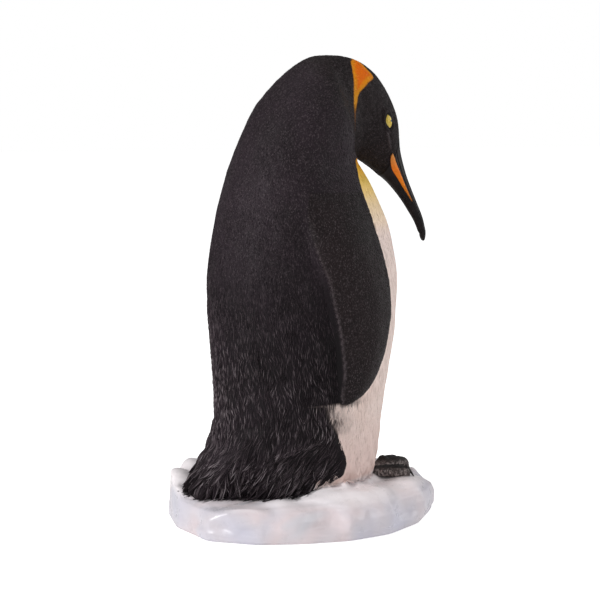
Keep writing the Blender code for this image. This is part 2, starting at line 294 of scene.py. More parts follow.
body = {
    "rows": 396,
    "columns": 248,
    "inset": 0.0006,  # the skin lies this far inside the solids, for the feathers on it
    "uneven": (0.0004, 0.0002, 0.0009),  # broad swells, fine ones all over, and more of those low down
    # outer y, z; inner y, z; half width; how much fuller the throat side is
    "stations": [
        (0.155, 0.052, -0.122, 0.052, 0.114, 0.00),
        (0.165, 0.115, -0.136, 0.115, 0.128, 0.00),
        (0.169, 0.160, -0.140, 0.160, 0.134, 0.00),
        (0.172, 0.250, -0.152, 0.250, 0.143, 0.00),
        (0.180, 0.340, -0.168, 0.340, 0.148, 0.00),
        (0.183, 0.430, -0.173, 0.430, 0.148, 0.00),
        (0.177, 0.495, -0.165, 0.495, 0.143, 0.00),
        (0.165, 0.560, -0.145, 0.560, 0.133, 0.00),
        (0.153, 0.605, -0.123, 0.605, 0.123, 0.00),
        (0.141, 0.645, -0.097, 0.645, 0.110, 0.00),
        (0.103, 0.731, -0.089, 0.653, 0.105, 0.08),
        (0.071, 0.775, -0.081, 0.658, 0.099, 0.14),
        (0.027, 0.817, -0.077, 0.661, 0.091, 0.20),
        (-0.009, 0.837, -0.076, 0.662, 0.080, 0.24),
        (-0.042, 0.841, -0.080, 0.661, 0.059, 0.20),
        (-0.077, 0.839, -0.096, 0.659, 0.047, 0.12),
        (-0.110, 0.829, -0.104, 0.655, 0.0435, 0.08),
        (-0.139, 0.808, -0.111, 0.651, 0.0415, 0.05),
        (-0.162, 0.778, -0.120, 0.646, 0.0400, 0.02),
        (-0.178, 0.745, -0.131, 0.639, 0.0380, -0.02),
        (-0.184, 0.716, -0.141, 0.632, 0.0350, -0.04),
        (-0.186, 0.699, -0.149, 0.625, 0.0315, -0.04),
    ],
    "trunkFocus": (82, 26, 1.5),  # degrees from the front where the columns crowd, how wide and how much
    "headFocus": (98, 13, 2.2),
    "shoulders": 9,  # station where the level sections end and the neck starts to turn over
    "nape": 14.4,  # place among the stations where the head leaves the neck
}

flipper = {
    "thick": 0.0155,
    "front": 0.62,  # share of that thickness towards the leading edge
    "tip": 0.45,  # and at the tip
    "edge": 0.0022,  # step at its edges
    "bead": 0.0009,  # raised rim along the trailing edge
    "hollow": 0.0055,  # how deep the body sinks behind the trailing edge
    "root": (0.582, 0.505),  # levels where it grows out of the shoulder
    "beadRoot": (0.56, 0.48),  # and where its bead does
    # level; leading edge and trailing edge in degrees round the body from the front
    "edges": [
        (0.600, 60.0, 104.0),
        (0.560, 57.5, 107.0),
        (0.500, 54.5, 103.0),
        (0.450, 50.5, 97.0),
        (0.420, 48.0, 94.6),
        (0.400, 47.0, 93.0),
        (0.370, 47.0, 90.7),
        (0.345, 48.4, 89.0),
        (0.315, 50.6, 87.2),
        (0.290, 54.2, 85.8),
        (0.270, 57.6, 85.2),
        (0.255, 61.8, 85.3),
        (0.243, 67.6, 85.3),
        (0.234, 75.0, 85.0),
        (0.229, 80.5, 84.6),
    ],
}

tail = {
    # level; how far it reaches back; half width
    "wedge": [
        (0.050, 0.224, 0.048),
        (0.062, 0.228, 0.052),
        (0.070, 0.2257, 0.054),
        (0.078, 0.2222, 0.056),
        (0.088, 0.216, 0.060),
        (0.107, 0.201, 0.070),
        (0.118, 0.192, 0.075),
        (0.140, 0.175, 0.083),
        (0.165, 0.160, 0.090),
        (0.200, 0.138, 0.096),
    ],
    "corner": 4.5,  # how square the wedge is
    "merge": 14,  # how sharply it meets the body
    "pivot": 0.010,  # y of the point that it is pushed out from
}

eye = {
    "centre": (0.0335, -0.1495, 0.7232),
    "half": (0.0065, 0.0085, 0.0150),
    "lean": math.radians(-12),
    "opening": (0.0070, 0.0132),  # half sizes of the gap between the lids
    "lid": (0.0013, 0.0004),  # radius of the lids' rounded rim, and how much more it has above
    "ball": (30, 48),  # rows and columns of its grid
    "rim": (80, 12),
    "pupil": ((0.64, 0.36), (-0.02, 0.15)),  # middle and half size, ahead and up, as shares of the ball's
    "irisColours": [(0.3, (200, 167, 62)), (0.7, (238, 211, 104))],
    "pupilColour": (14, 10, 10),
    "lidShadeColour": (22, 17, 17),
    "lidColours": [(0.35, (12, 9, 9)), (0.7, (26, 21, 21))],
}

markings = {
    # level of the lower flank; degrees from the front where black starts
    "flank": [
        (0.060, 104),
        (0.078, 95),
        (0.0875, 86.5),
        (0.0974, 78.4),
        (0.108, 76.7),
        (0.1194, 76.2),
        (0.131, 76.8),
        (0.143, 78.9),
        (0.155, 80.9),
        (0.167, 83.1),
        (0.1885, 86.6),
        (0.202, 89.4),
        (0.213, 92.0),
        (0.232, 94.2),
    ],
    "flankTop": (0.2285, 0.2325),  # under the wing and behind it
    # the same by place among the stations, from under the wing to the throat
    "collar": [
        (5.05, 50.2), (5.29, 51.6), (5.43, 52.3), (5.72, 53.2), (6.01, 54.0),
        (6.28, 54.9), (6.54, 55.8), (6.82, 56.4), (7.14, 57.0), (7.52, 57.4),
        (7.94, 56.7), (8.14, 55.3), (8.34, 53.1), (8.50, 50.9), (8.67, 48.3),
        (8.85, 45.5), (9.07, 43.0), (9.39, 42.0), (9.7, 38.0), (10.0, 28.0),
    ],
    "collarTop": 10.15,  # place where the white ends under the chin
    # degrees; the place where the ear patch starts behind, and where it ends towards the face
    "ear": [
        (58, 14.12, 14.13), (70, 14.16, 14.21), (79.3, 14.25, 14.38), (92, 14.44, 14.68),
        (99.4, 14.56, 14.87), (104.6, 14.65, 15.04), (110, 14.74, 15.32), (118, 14.85, 15.72),
        (123, 14.90, 15.93), (133.4, 14.96, 16.31), (143, 15.03, 16.55), (148, 15.06, 16.45),
        (153, 15.11, 16.16), (160, 15.22, 15.96), (166, 15.32, 15.82), (172, 15.44, 15.64),
    ],
}

ground = {
    "level": 0.070,
    "print": (0.119, 0.143, 0.016),  # half sizes and centre of the oval that the bird fills on it
    "bank": 0.0060,  # how far it rises against the belly
    "clear": 0.0012,  # how high the locks rest over it
    # x, y, height and radius of the swells and hollows of the ice that the bird stands on
    "swells": [
        (-0.150, -0.005, 0.0095, 0.075),
        (0.150, 0.020, 0.0070, 0.080),
        (-0.030, 0.200, -0.0095, 0.105),
        (-0.095, 0.130, -0.0040, 0.060),
        (0.060, -0.190, 0.0040, 0.070),
        (-0.098, -0.172, 0.0050, 0.032),
    ],
}


# Level of the ice: flat, with round swells and hollows that fade as a bell curve, and a low bank round
# the belly.
def iceLevel(x, y):
    level = np.full(np.broadcast(x, y).shape, ground["level"])
    for across, along, height, radius in ground["swells"]:
        level = level + height * np.exp(-((x - across) ** 2 + (y - along) ** 2) / radius**2)
    halfX, halfY, centreY = ground["print"]
    near = bell(np.hypot(x / halfX, (y - centreY) / halfY), 1.00, 0.10)
    uneven = 1 + 0.35 * wobble(np.stack(np.broadcast_arrays(x, y), axis=-1), 0.035, seed=7)
    return level + ground["bank"] * near * uneven * smoothStep(0.05, 0.0, y)


# Where the rows of the skin's grid lie: place among the stations, closer together on the head.
def rowPlaces():
    places = np.linspace(0, len(body["stations"]) - 1, 4000)
    outer = readStations(body["stations"], places)[:, :2]
    steps = np.hypot(*np.diff(outer, axis=0).T)
    middle = (places[1:] + places[:-1]) / 2
    detail = 1 + 1.3 * smoothStep(body["nape"] - 1, body["nape"] + 1, middle)
    spread = np.concatenate([[0], np.cumsum(steps * detail)])
    return np.interp(np.linspace(0, spread[-1], body["rows"]), spread, places)


# Angles round the body, closer together about one angle on each side.
def columnTurns(centre, width, gain):
    fine = np.linspace(0, math.pi, 2000)
    density = 1 + gain * bell(fine, math.radians(centre), math.radians(width))
    spread = np.concatenate([[0], np.cumsum((density[1:] + density[:-1]) / 2)])
    half = np.interp(np.linspace(0, spread[-1], body["columns"] // 2 + 1), spread, fine)
    return np.concatenate([half, fullTurn - half[1:-1][::-1]])


# An oval section at a place: from the inner line (turn 0) by the right side to the outer line (pi).
def sectionPoints(places, turns):
    row = readStations(body["stations"], places)
    outer, inner = row[..., 0:2], row[..., 2:4]
    along = ((1 - np.cos(turns)) / 2)[..., None]
    plane = inner + along * (outer - inner)
    across = -row[..., 4] * np.sin(turns) * (1 + row[..., 5] * np.cos(turns))
    return np.concatenate([across[..., None], plane], axis=-1)


# Steps round a grid that closes on itself: half the way from the column before to the one after.
def aroundSteps(grid):
    return (np.roll(grid, -1, axis=1) - np.roll(grid, 1, axis=1)) / 2


# Outward normals: the cross product of the steps up the grid and round it.
def gridNormals(grid):
    return unit(np.cross(np.gradient(grid, axis=0), aroundSteps(grid)))


# Leading and trailing edge of the flipper at a level, in degrees.
def flipperEdges(level):
    return np.moveaxis(readByFirst(flipper["edges"], level)[..., 1:], -1, 0)


# Height of the flipper over the body: a half sine to a power across it, a step at its edges,
# a bead on the trailing one, and a hollow in the body behind it.
def flipperRise(level, side):
    leading, trailing = flipperEdges(level)
    across = np.clip((side - leading) / (trailing - leading), 0, 1)
    top = smoothStep(*flipper["root"], level)
    lowest = flipper["edges"][-1][0]
    tip = smoothStep(lowest - 0.004, lowest + 0.005, level)
    inside = smoothStep(0, 1.2, side - leading) * smoothStep(0, 1.2, trailing - side)
    lean = flipper["front"] + (1 - flipper["front"]) * smoothStep(0.0, 0.55, across)
    thin = flipper["tip"] + (1 - flipper["tip"]) * smoothStep(lowest, lowest + 0.075, level)
    rise = flipper["thick"] * thin * np.sin(math.pi * across) ** 0.5 * lean * top
    rise += flipper["edge"] * inside * top
    rise += flipper["bead"] * bell(trailing - side, 0.9, 0.5) * smoothStep(*flipper["beadRoot"], level)
    behind = bell(side - trailing, 5, 7) * smoothStep(-1, 4, side - trailing)
    hollow = flipper["hollow"] * behind * smoothStep(0.58, 0.50, level) * smoothStep(0.21, 0.26, level)
    return rise * tip - hollow


# Pushes the lower back out into the tail: the larger of the body's radius and a rounded wedge's.
def tailPush(points):
    level = points[..., 2]
    row = readByFirst(tail["wedge"], level)
    centre = np.array([0, tail["pivot"]])
    away = points[..., :2] - centre
    radius = np.linalg.norm(away, axis=-1)
    heading = away / radius[..., None]
    reach, halfWidth = row[..., 1] - tail["pivot"], row[..., 2]
    n, merge = tail["corner"], tail["merge"]
    across = np.abs(heading[..., 0]) / halfWidth
    back = np.clip(heading[..., 1], 1e-3, 1) / reach
    wedge = (across**n + back**n) ** (-1 / n)
    wedge = np.where(heading[..., 1] > 0, wedge, 0) * smoothStep(0.225, 0.175, level)
    pushed = (radius**merge + wedge**merge) ** (1 / merge)
    moved = points.copy()
    moved[..., :2] = centre + heading * pushed[..., None]
    return moved


skirtFold = {
    # degrees from the front; level of the line that a layer of long feathers ends in, low on each flank
    "line": [(86, 0.176), (90.5, 0.169), (104, 0.157), (117, 0.143), (138, 0.1195), (146, 0.112)],
    "step": 0.0042,
    "above": 0.045,  # how far above the line the step has faded out
    "flare": 0.004,  # how far the skirt spreads where it meets the ice, between flank and tail
}


# Level of that line at an angle round the body.
def foldLine(side):
    line = skirtFold["line"]
    return readByFirst(line, np.clip(side, line[0][0], line[-1][0]))[..., 1]


# Height of the step there: full at the line, and fading out above it and towards both ends.
def foldRise(level, side):
    along = smoothStep(84, 96, side) * smoothStep(150, 138, side)
    over = level - foldLine(side)
    step = smoothStep(-0.0025, 0.0025, over) * (1 - smoothStep(0, skirtFold["above"], over))
    return skirtFold["step"] * along * step


face = {
    # heights and depths of its forms
    "socket": 0.0030,
    "rim": 0.0012,
    "furrow": 0.0007,
    "brow": 0.0014,
    "lore": 0.0018,
    "cheek": 0.0008,
}


# Where a point of the head lies from the eye, in metres: to the rear and up, in the eye's own lean.
def fromEye(points):
    x, y, z = eye["centre"]
    cos, sin = math.cos(eye["lean"]), math.sin(eye["lean"])
    dy, dz = points[..., 1] - y, points[..., 2] - z
    return dy * cos + dz * sin, dz * cos - dy * sin


# The narrow ridge that runs down from below the eye to the root of the coloured plate: 0 to 1.
def loreLine(points):
    back, up = fromEye(points)
    across = 0.0074 + 0.05 * (up + 0.02) - back
    return bell(across, 0, 0.0026) * smoothStep(-0.015, -0.022, up) * smoothStep(-0.056, -0.046, up)


# Hollows and ridges of the face, outwards: a socket with a rim and a furrow round it, a brow, the lore ridge
# and a hollow cheek ahead of the eye, each a bell or a smooth step of the distance from its own line.
def faceRise(points):
    back, up = fromEye(points)
    ahead = -back
    wide, tall = eye["opening"]
    ring = np.hypot(ahead / wide, up / tall)
    rise = -face["socket"] * smoothStep(1.25, 0.75, ring)
    rise += face["rim"] * bell(ring, 1.45, 0.28)
    rise -= face["furrow"] * bell(ring, 2.1, 0.4)
    brow = bell(up, 0.016 + 0.25 * ahead, 0.007) * bell(ahead, 0.002, 0.016)
    cheek = bell(ahead, 0.016, 0.006) * smoothStep(-0.050, -0.02, up) * smoothStep(0.045, 0.01, up)
    return rise + face["brow"] * brow + face["lore"] * loreLine(points) - face["cheek"] * cheek


# The skin as a grid of rows up the body and columns round it: ovals, pushed out into the tail, and raised
# along their normals by flippers, fold, face, a little unevenness and the flare of the skirt.
def buildSkinGrid():
    places = rowPlaces()
    headward = smoothStep(body["shoulders"], body["nape"] + 1, places)[:, None]
    turns = columnTurns(*body["trunkFocus"]) * (1 - headward) + columnTurns(*body["headFocus"]) * headward
    placeGrid = np.repeat(places[:, None], body["columns"], axis=1)
    grid = sectionPoints(placeGrid, turns)
    side = np.degrees(np.minimum(turns, fullTurn - turns))
    onTrunk = placeGrid < body["shoulders"]
    grid = np.where(onTrunk[..., None], tailPush(grid), grid)
    normals = gridNormals(grid)
    level = grid[..., 2]
    rise = np.where(onTrunk, flipperRise(level, side) + foldRise(level, side), 0)
    onHead = smoothStep(body["nape"] + 0.6, body["nape"] + 1.6, placeGrid)
    rise += onHead * faceRise(grid) * smoothStep(60, 80, side) * smoothStep(165, 140, side)
    low = smoothStep(0.20, 0.10, level) * onTrunk
    broad, fine = wobble(grid, 0.09, seed=1), wobble(grid * (1, 1, 0.5), 0.026, seed=2)
    swells, ripples, lowRipples = body["uneven"]
    rise += swells * broad + (ripples + lowRipples * low) * fine
    rise += skirtFold["flare"] * smoothStep(0.125, 0.080, level) * bell(side, 128, 26) * onTrunk
    grid = grid + normals * (rise - body["inset"])[..., None]
    rowSize = np.linalg.norm(np.gradient(grid, axis=0), axis=-1)
    columnSize = np.linalg.norm(aroundSteps(grid), axis=-1)
    skin = {"points": grid, "normals": gridNormals(grid), "turns": turns, "places": placeGrid, "side": side}
    skin.update(rowSize=rowSize, columnSize=columnSize, level=grid[..., 2])
    return skin


# Turns a number that is nought on a line into the distance from that line over the skin.
def asDistance(skin, number, least):
    down = np.gradient(number, axis=0) / skin["rowSize"]
    around = aroundSteps(number) / skin["columnSize"]
    return number / np.maximum(np.hypot(down, around), least)


# Whether a point lies on the flipper, or within so many degrees of it.
def onFlipper(level, side, margin):
    leading, trailing = flipperEdges(level)
    lowest = flipper["edges"][-1][0]
    return (side > leading - margin) & (side < trailing + margin) & (level > lowest - 0.006) & (level < 0.60)


# How deep a point lies in the dark recess behind the flipper, 0 to 1: how much painted shade it takes.
def recessShade(level, side):
    _, trailing = flipperEdges(level)
    behind = smoothStep(-0.3, 1.2, side - trailing) * smoothStep(13, 3, side - trailing)
    return behind * smoothStep(0.50, 0.40, level) * smoothStep(0.224, 0.236, level)


# Signed distances, positive inside, from the edge of the white front and from that of the ear patch. Tone
# sets painted light and shade: painted shade low on the back between the long feathers and in the recess
# behind the flipper, painted highlights on the flipper's trailing rim and the lore ridge, and a little darker
# towards the bill. Warm is where its black is a darker brown one: on the flippers and the head, where it also
# paints shade over the crown.
def markSkin(skin):
    level, place, side = skin["level"], skin["places"], skin["side"]
    leading, trailing = flipperEdges(level)
    flankEdge = readByFirst(markings["flank"], level)[..., 1]
    wingEdge = leading - 0.4
    collarEdge = readByFirst(markings["collar"], place)[..., 1]
    upper = wingEdge + (collarEdge - wingEdge) * smoothStep(5.0, 5.5, place)
    low, high = markings["flankTop"]
    start = np.where(level < low + (high - low) * smoothStep(84, 87, side), flankEdge, upper)
    start = start - 80 * smoothStep(markings["collarTop"], markings["collarTop"] + 0.25, place)
    skin["white"] = np.clip(asDistance(skin, start - side, 250), -0.1, 0.1)
    behind, ahead = np.moveaxis(readByFirst(markings["ear"], side)[..., 1:], -1, 0)
    patch = np.minimum(place - behind, ahead - place)
    patch = np.minimum(patch, np.minimum(side - 60, 172 - side) * 0.05)
    skin["ear"] = np.clip(asDistance(skin, patch, 12), -0.1, 0.1)
    wing = onFlipper(level, side, 0.0)
    grooveShade = smoothStep(0.56, 0.34, level) * (1 - wing)
    rim = bell(trailing - side, 0.4, 0.35) * smoothStep(*flipper["beadRoot"], level)
    rim = rim * smoothStep(0.230, 0.240, level)
    # painted shade low on the back and in the recess; painted highlights on the trailing rim and lore ridge
    tone = 0.35 - 0.25 * grooveShade - 0.05 * recessShade(level, side) + 0.28 * rim
    tone = tone - 0.12 * smoothStep(19.0, 20.6, place) + 0.25 * loreLine(skin["points"])
    skin["tone"] = np.clip(np.where(skin["white"] < 0, tone, 0.35), 0, 1)
    skin["warm"] = np.maximum(wing, smoothStep(11.6, 13.4, place))


skin = buildSkinGrid()
markSkin(skin)
print("skin grid", skin["points"].shape)


# Reads a grid of the skin at fractional rows and columns.
def sampleGrid(values, rows, columns):
    count, width = values.shape[:2]
    rows = np.clip(rows, 0, count - 1.001)
    i = rows.astype(int)
    columns = np.mod(columns, width)
    j = np.minimum(columns.astype(int), width - 1)
    k = (j + 1) % width
    a, b = rows - i, columns - j
    if values.ndim == 3:
        a, b = a[..., None], b[..., None]
    under = values[i, j] * (1 - b) + values[i, k] * b
    over = values[i + 1, j] * (1 - b) + values[i + 1, k] * b
    return under * (1 - a) + over * a


paint = {
    "black": (39, 30, 36),
    "blackShade": (30, 23, 27),
    "brown": (29, 21, 22),
    "brownShade": (22, 16, 17),
    # colours for painted highlights on crests and paler feathers, and for painted shade in grooves
    "blackPaleAndHighlight": (112, 101, 105),
    "blackBrightHighlight": (190, 180, 184),
    "blackGrooveShade": (8, 6, 7),
    "white": (240, 220, 212),
    "whiteWarm": (234, 211, 202),
    # painted shade in the grooves of the white
    "whiteGrooveShade": (172, 150, 142),
    "rose": (222, 192, 186),  # low on the belly
    # a pale snow colour, kept light to paint out the shade where the belly meets the ice
    "hem": (229, 217, 216),  # where the belly meets the ice
    "fringe": (92, 84, 82),  # grey strands below the wing
    "orange": (226, 108, 4),
    "gold": (224, 140, 14),
    "earLow": (216, 144, 24),
    "earEnd": (110, 68, 26),
    # levels between which these come in over the white, and how much of the rose
    "throatFrom": (0.515, 0.545),
    "roseFrom": (0.24, 0.12),
    "roseShare": 0.42,
    "hemFrom": (0.090, 0.079),
    # and over the ear patch
    "earLowFrom": (0.790, 0.765),
    "earEndFrom": (0.760, 0.735),
    # levels between which the dark frays out into the flank, above and below
    "frayTop": (0.250, 0.232),
    "frayFoot": (0.165, 0.195),
    "throatHeight": (0.50, 0.67),
    # share of the way up the throat; colour there
    "throat": [
        (0.20, (246, 222, 204)),
        (0.34, (247, 222, 190)),
        (0.46, (243, 215, 170)),
        (0.58, (246, 211, 136)),
        (0.70, (230, 193, 96)),
        (0.78, (238, 184, 66)),
        (0.84, (224, 162, 30)),
        (0.93, (200, 128, 26)),
    ],
    # from tone, to tone, share of the colour at each, and the colour laid over the black: painted shade in
    # the grooves, then painted highlights on the crests
    "shadeAndHighlights": [
        (0.0, 0.35, 0.9, 0.0, "blackGrooveShade"),
        (0.35, 1.0, 0.0, 0.80, "blackPaleAndHighlight"),
        (0.80, 1.20, 0.0, 0.75, "blackBrightHighlight"),
    ],
}


# The black: patchy, with fine flecks of painted glint, painted shade down in the grooves and painted
# highlights on the crests.
def paintBlack(finish, tone):
    patches = finish.noise(9, 4, 0.6)
    cool = finish.ramp(patches, [(0.38, paint["blackShade"]), (0.60, paint["black"])])
    brown = finish.ramp(patches, [(0.38, paint["brownShade"]), (0.60, paint["brown"])])
    black = finish.blend(finish.field("warm"), cool, brown)
    glint = finish.range(finish.noise(310, 2, 0.8), 0.50, 0.72)
    glint = finish.times(glint, finish.range(tone, 0.05, 0.35, 0.0, 0.30))
    black = finish.blend(glint, black, paint["blackPaleAndHighlight"])
    for low, high, first, last, colour in paint["shadeAndHighlights"]:
        black = finish.blend(finish.range(tone, low, high, first, last, False), black, paint[colour])
    return black


# The front: warm white, rosy low down, yellow up the throat, with painted shade in the grooves, and a pale
# snow colour where it meets the ice, which paints out the shade there.
def paintFront(finish, tone, height):
    warm = finish.range(finish.noise(11, 3), 0.42, 0.70)
    white = finish.blend(warm, paint["white"], paint["whiteWarm"])
    throat = finish.ramp(finish.range(height, *paint["throatHeight"], 0.0, 1.0, False), paint["throat"])
    front = finish.blend(finish.range(height, *paint["throatFrom"]), white, throat)
    rosy = finish.times(finish.range(height, *paint["roseFrom"]), paint["roseShare"])
    front = finish.blend(rosy, front, paint["rose"])
    front = finish.blend(finish.range(height, *paint["hemFrom"]), front, paint["hem"])
    return finish.blend(finish.range(tone, 0.0, 0.35, 0.75, 0.0, False), front, paint["whiteGrooveShade"])


# Lays the front over the black up to its edge. Below the wing the dark frays out into the white.
def layFront(finish, black, front, height):
    edge = finish.shaken(finish.field("white"), 0.0022, 420)
    frayed = (finish.range(height, *paint[label]) for label in ("frayTop", "frayFoot"))
    frayed = finish.times(*frayed)
    rearward = finish.range(finish.axis("Y"), -0.070, -0.015)
    greyed = finish.times(finish.times(frayed, rearward), finish.range(edge, 0.046, 0.002))
    streak = finish.noise(240, 3, 0.7, vector=finish.scaled(finish.place, (1, 1, 0.35)))
    greyed = finish.times(greyed, finish.range(streak, 0.34, 0.62, 0.32, 0.85))
    front = finish.blend(greyed, front, paint["fringe"])
    half = finish.range(frayed, 0.0, 1.0, 0.0006, 0.0085, False)
    share = finish.sums("MULTIPLY_ADD", finish.sums("DIVIDE", edge, half), 0.5, 0.5)
    return finish.blend(finish.range(share, 0.0, 1.0), black, front)


# Lays the ear patch over the rest: gold at its edge, orange inside, brown where it ends down the neck.
def layEar(finish, colour, height):
    mottle = finish.shaken(finish.field("ear"), 0.018, 110, 3, 0.6)
    ear = finish.blend(finish.range(mottle, 0.002, 0.012), paint["gold"], paint["orange"])
    for label in ("earLow", "earEnd"):
        ear = finish.blend(finish.range(height, *paint[f"{label}From"]), ear, paint[label])
    edge = finish.shaken(finish.field("ear"), 0.0034, 380)
    return finish.blend(finish.range(edge, -0.0017, 0.0017), colour, ear)


# Plumage in black, white, yellow and orange. Skin and feathers share it, so a marking runs on across both.
# Tone is 0 down in the grooves, where painted shade darkens the paint, and 1 on crests, which take painted
# highlights; it also differs at random from feather to feather.
def plumageFinish(name, lie=None):
    finish = Finish(name, Specular_IOR_Level=0.13)
    height = finish.axis("Z")
    tone = finish.field("tone")
    colour = layFront(finish, paintBlack(finish, tone), paintFront(finish, tone, height), height)
    colour = layEar(finish, colour, height)
    rough = finish.range(finish.noise(60, 3), 0.3, 0.7, 0.42, 0.58, False)
    normal = finish.bump(finish.noise(700, 2, 0.6), 0.45, 0.0014)
    if lie:
        strokes = finish.noise(260, 3, 0.6, 0.4, vector=finish.scaled(finish.map(lie), (0.9, 0.28, 1)))
        normal = finish.bump(strokes, 0.55, 0.0016, normal)
    return finish.set(Base_Color=colour, Roughness=rough, Normal=normal)


skinPaint = plumageFinish("plumage_skin", lie="lie")
featherPaint = plumageFinish("plumage_feathers")


# The skin as one closed piece. Low on the front a ragged hem of snow is painted over its black.
def buildSkin():
    grid = skin["points"]
    rows, columns = grid.shape[:2]
    hem = iceLevel(grid[..., 0], grid[..., 1]) + 0.0065 + 0.0030 * wobble(grid, 0.018, seed=5)
    snow = (skin["level"] < hem) & (skin["places"] < 3) & (skin["side"] < 98)
    fields = {label: withEnds(skin[label][..., None]) for label in ("white", "ear", "tone", "warm")}
    fields["white"] = withEnds(np.where(snow, 0.01, skin["white"])[..., None])
    stands = ("trunk", "neck", "head", "tail", "flipper_right", "flipper_left")
    faces = tubeFaces(rows, columns)
    piece = makePiece("penguin_skin", withEnds(grid), faces, skinPaint, stands, fields)
    u, v = np.meshgrid(np.arange(columns) / columns, np.arange(rows) / rows)
    makeMap(piece, "lie", withEnds(np.stack([u, v * 1.3], axis=-1)))


buildSkin()
print("skin built")


# Roots in staggered rows over the skin, so far apart across and down, shaken by a share of that.
def scatterRoots(across, down, seed, jitter=0.8):
    rng = np.random.default_rng(seed)
    outer = skin["rowSize"].max(axis=1)
    way = np.concatenate([[0], np.cumsum(outer[:-1])])
    allRows, allColumns = [], []
    for number, arc in enumerate(np.arange(down / 2, way[-1], down)):
        row = np.interp(arc, way, np.arange(len(way)))
        size = skin["columnSize"][int(row)]
        around = np.concatenate([[0], np.cumsum(size)])
        spots = np.arange(0.25 + 0.5 * (number % 2), around[-1] / across - 0.25)
        spots = (spots + jitter * (rng.random(len(spots)) - 0.5)) * across
        columns = np.interp(spots, around, np.arange(len(around)))
        rows = row + jitter * (rng.random(len(spots)) - 0.5) * down / outer[int(row)]
        thinning = sampleGrid(skin["rowSize"], rows, columns) / outer[int(row)]
        kept = rng.random(len(spots)) < thinning * 1.1
        allRows.append(rows[kept])
        allColumns.append(columns[kept])
    return np.clip(np.concatenate(allRows), 0, len(outer) - 2), np.concatenate(allColumns)


# Paths over the skin from each root: equal steps at an angle from straight down, which turns as they go.
# A positive angle leans to the rear on either side.
def tuftPaths(rows, columns, lean, length, bend, steps):
    side = np.where(columns < body["columns"] / 2, 1, -1)
    path = [(rows, columns)]
    step = length / (steps - 1)
    for k in range(steps - 1):
        angle = lean + bend * (k / (steps - 1) - 0.3)
        rowSize = np.maximum(sampleGrid(skin["rowSize"], rows, columns), 0.0008)
        columnSize = np.maximum(sampleGrid(skin["columnSize"], rows, columns), 0.0004)
        rows = np.clip(rows - np.cos(angle) * step / rowSize, 0, body["rows"] - 1.01)
        columns = columns + side * np.sin(angle) * step / columnSize
        path.append((rows, columns))
    return np.stack([row for row, _ in path], axis=1), np.stack([column for _, column in path], axis=1)


# Closed slim ridges along paths: at each step a small ring, as wide and high as its share of the way gives,
# with the path's normals as up. Ring points are given as (across, up) with the ridge's half width and height
# as one.
def ridgeMesh(path, normals, width, height, ring, sink):
    count, steps = path.shape[:2]
    tangent = unit(np.gradient(path, axis=1))
    across = unit(np.cross(tangent, normals))
    outward = unit(np.cross(across, tangent))
    size = len(ring)
    wide = width[..., None, None] * ring[:, 0][:, None] * across[:, :, None, :]
    high = (height[..., None, None] * ring[:, 1][:, None] - sink[..., None, None]) * outward[:, :, None, :]
    points = path[:, :, None, :] + wide + high
    first = np.arange(count) * steps * size
    i, j = np.meshgrid(np.arange(steps - 1), np.arange(size), indexing="ij")
    k = (j + 1) % size
    quads = np.stack([i * size + j, (i + 1) * size + j, (i + 1) * size + k, i * size + k], axis=-1)
    quads = (quads[None] + first[:, None, None, None]).reshape(-1, 4)
    starts = first[:, None] + np.arange(size)
    ends = first[:, None] + (steps - 1) * size + np.arange(size)[::-1]
    return points, quads.tolist() + starts.tolist() + ends.tolist()


tufts = {
    # points round the rings of three kinds of ridge
    "thin": np.array([(-1, 0), (0, 1), (1, 0)], float),
    "stroke": np.array([(-1, 0), (-0.35, 0.9), (0.35, 0.9), (1, 0)], float),
    "lock": np.array([(-1, 0), (-0.6, 0.75), (0, 1), (0.6, 0.75), (1, 0), (0, -0.5)], float),
    "patch": 0.003,  # size of each tuft's spot on the map for baking
}


# Numbers of a tuft's shape, each given as one for all or as one for each.
def eachOf(shape, count, *labels):
    return [np.broadcast_to(np.asarray(shape[label], float), count) for label in labels]


# The skin's markings at rows and columns, the same all round each ring.
def tuftMarks(rows, columns, whole):
    marks = {}
    for label in ("white", "ear", "warm"):
        marks[label] = np.broadcast_to(sampleGrid(skin[label], rows, columns)[..., None], whole)
    return marks


# Gives each tuft its own spot of the map for baking, where its root lies on the skin's grid.
def mapTufts(piece, rows, columns, ring, steps):
    across = (columns / body["columns"])[:, None, None] + tufts["patch"] / 2 * ring[:, 0]
    along = (rows / body["rows"])[:, None, None] + tufts["patch"] * (np.linspace(0, 1, steps)[:, None] - 0.5)
    pairs = np.stack(np.broadcast_arrays(across, along), axis=-1)
    makeMap(piece, "OFBake", np.clip(pairs, 0, 1).reshape(-1, 2))


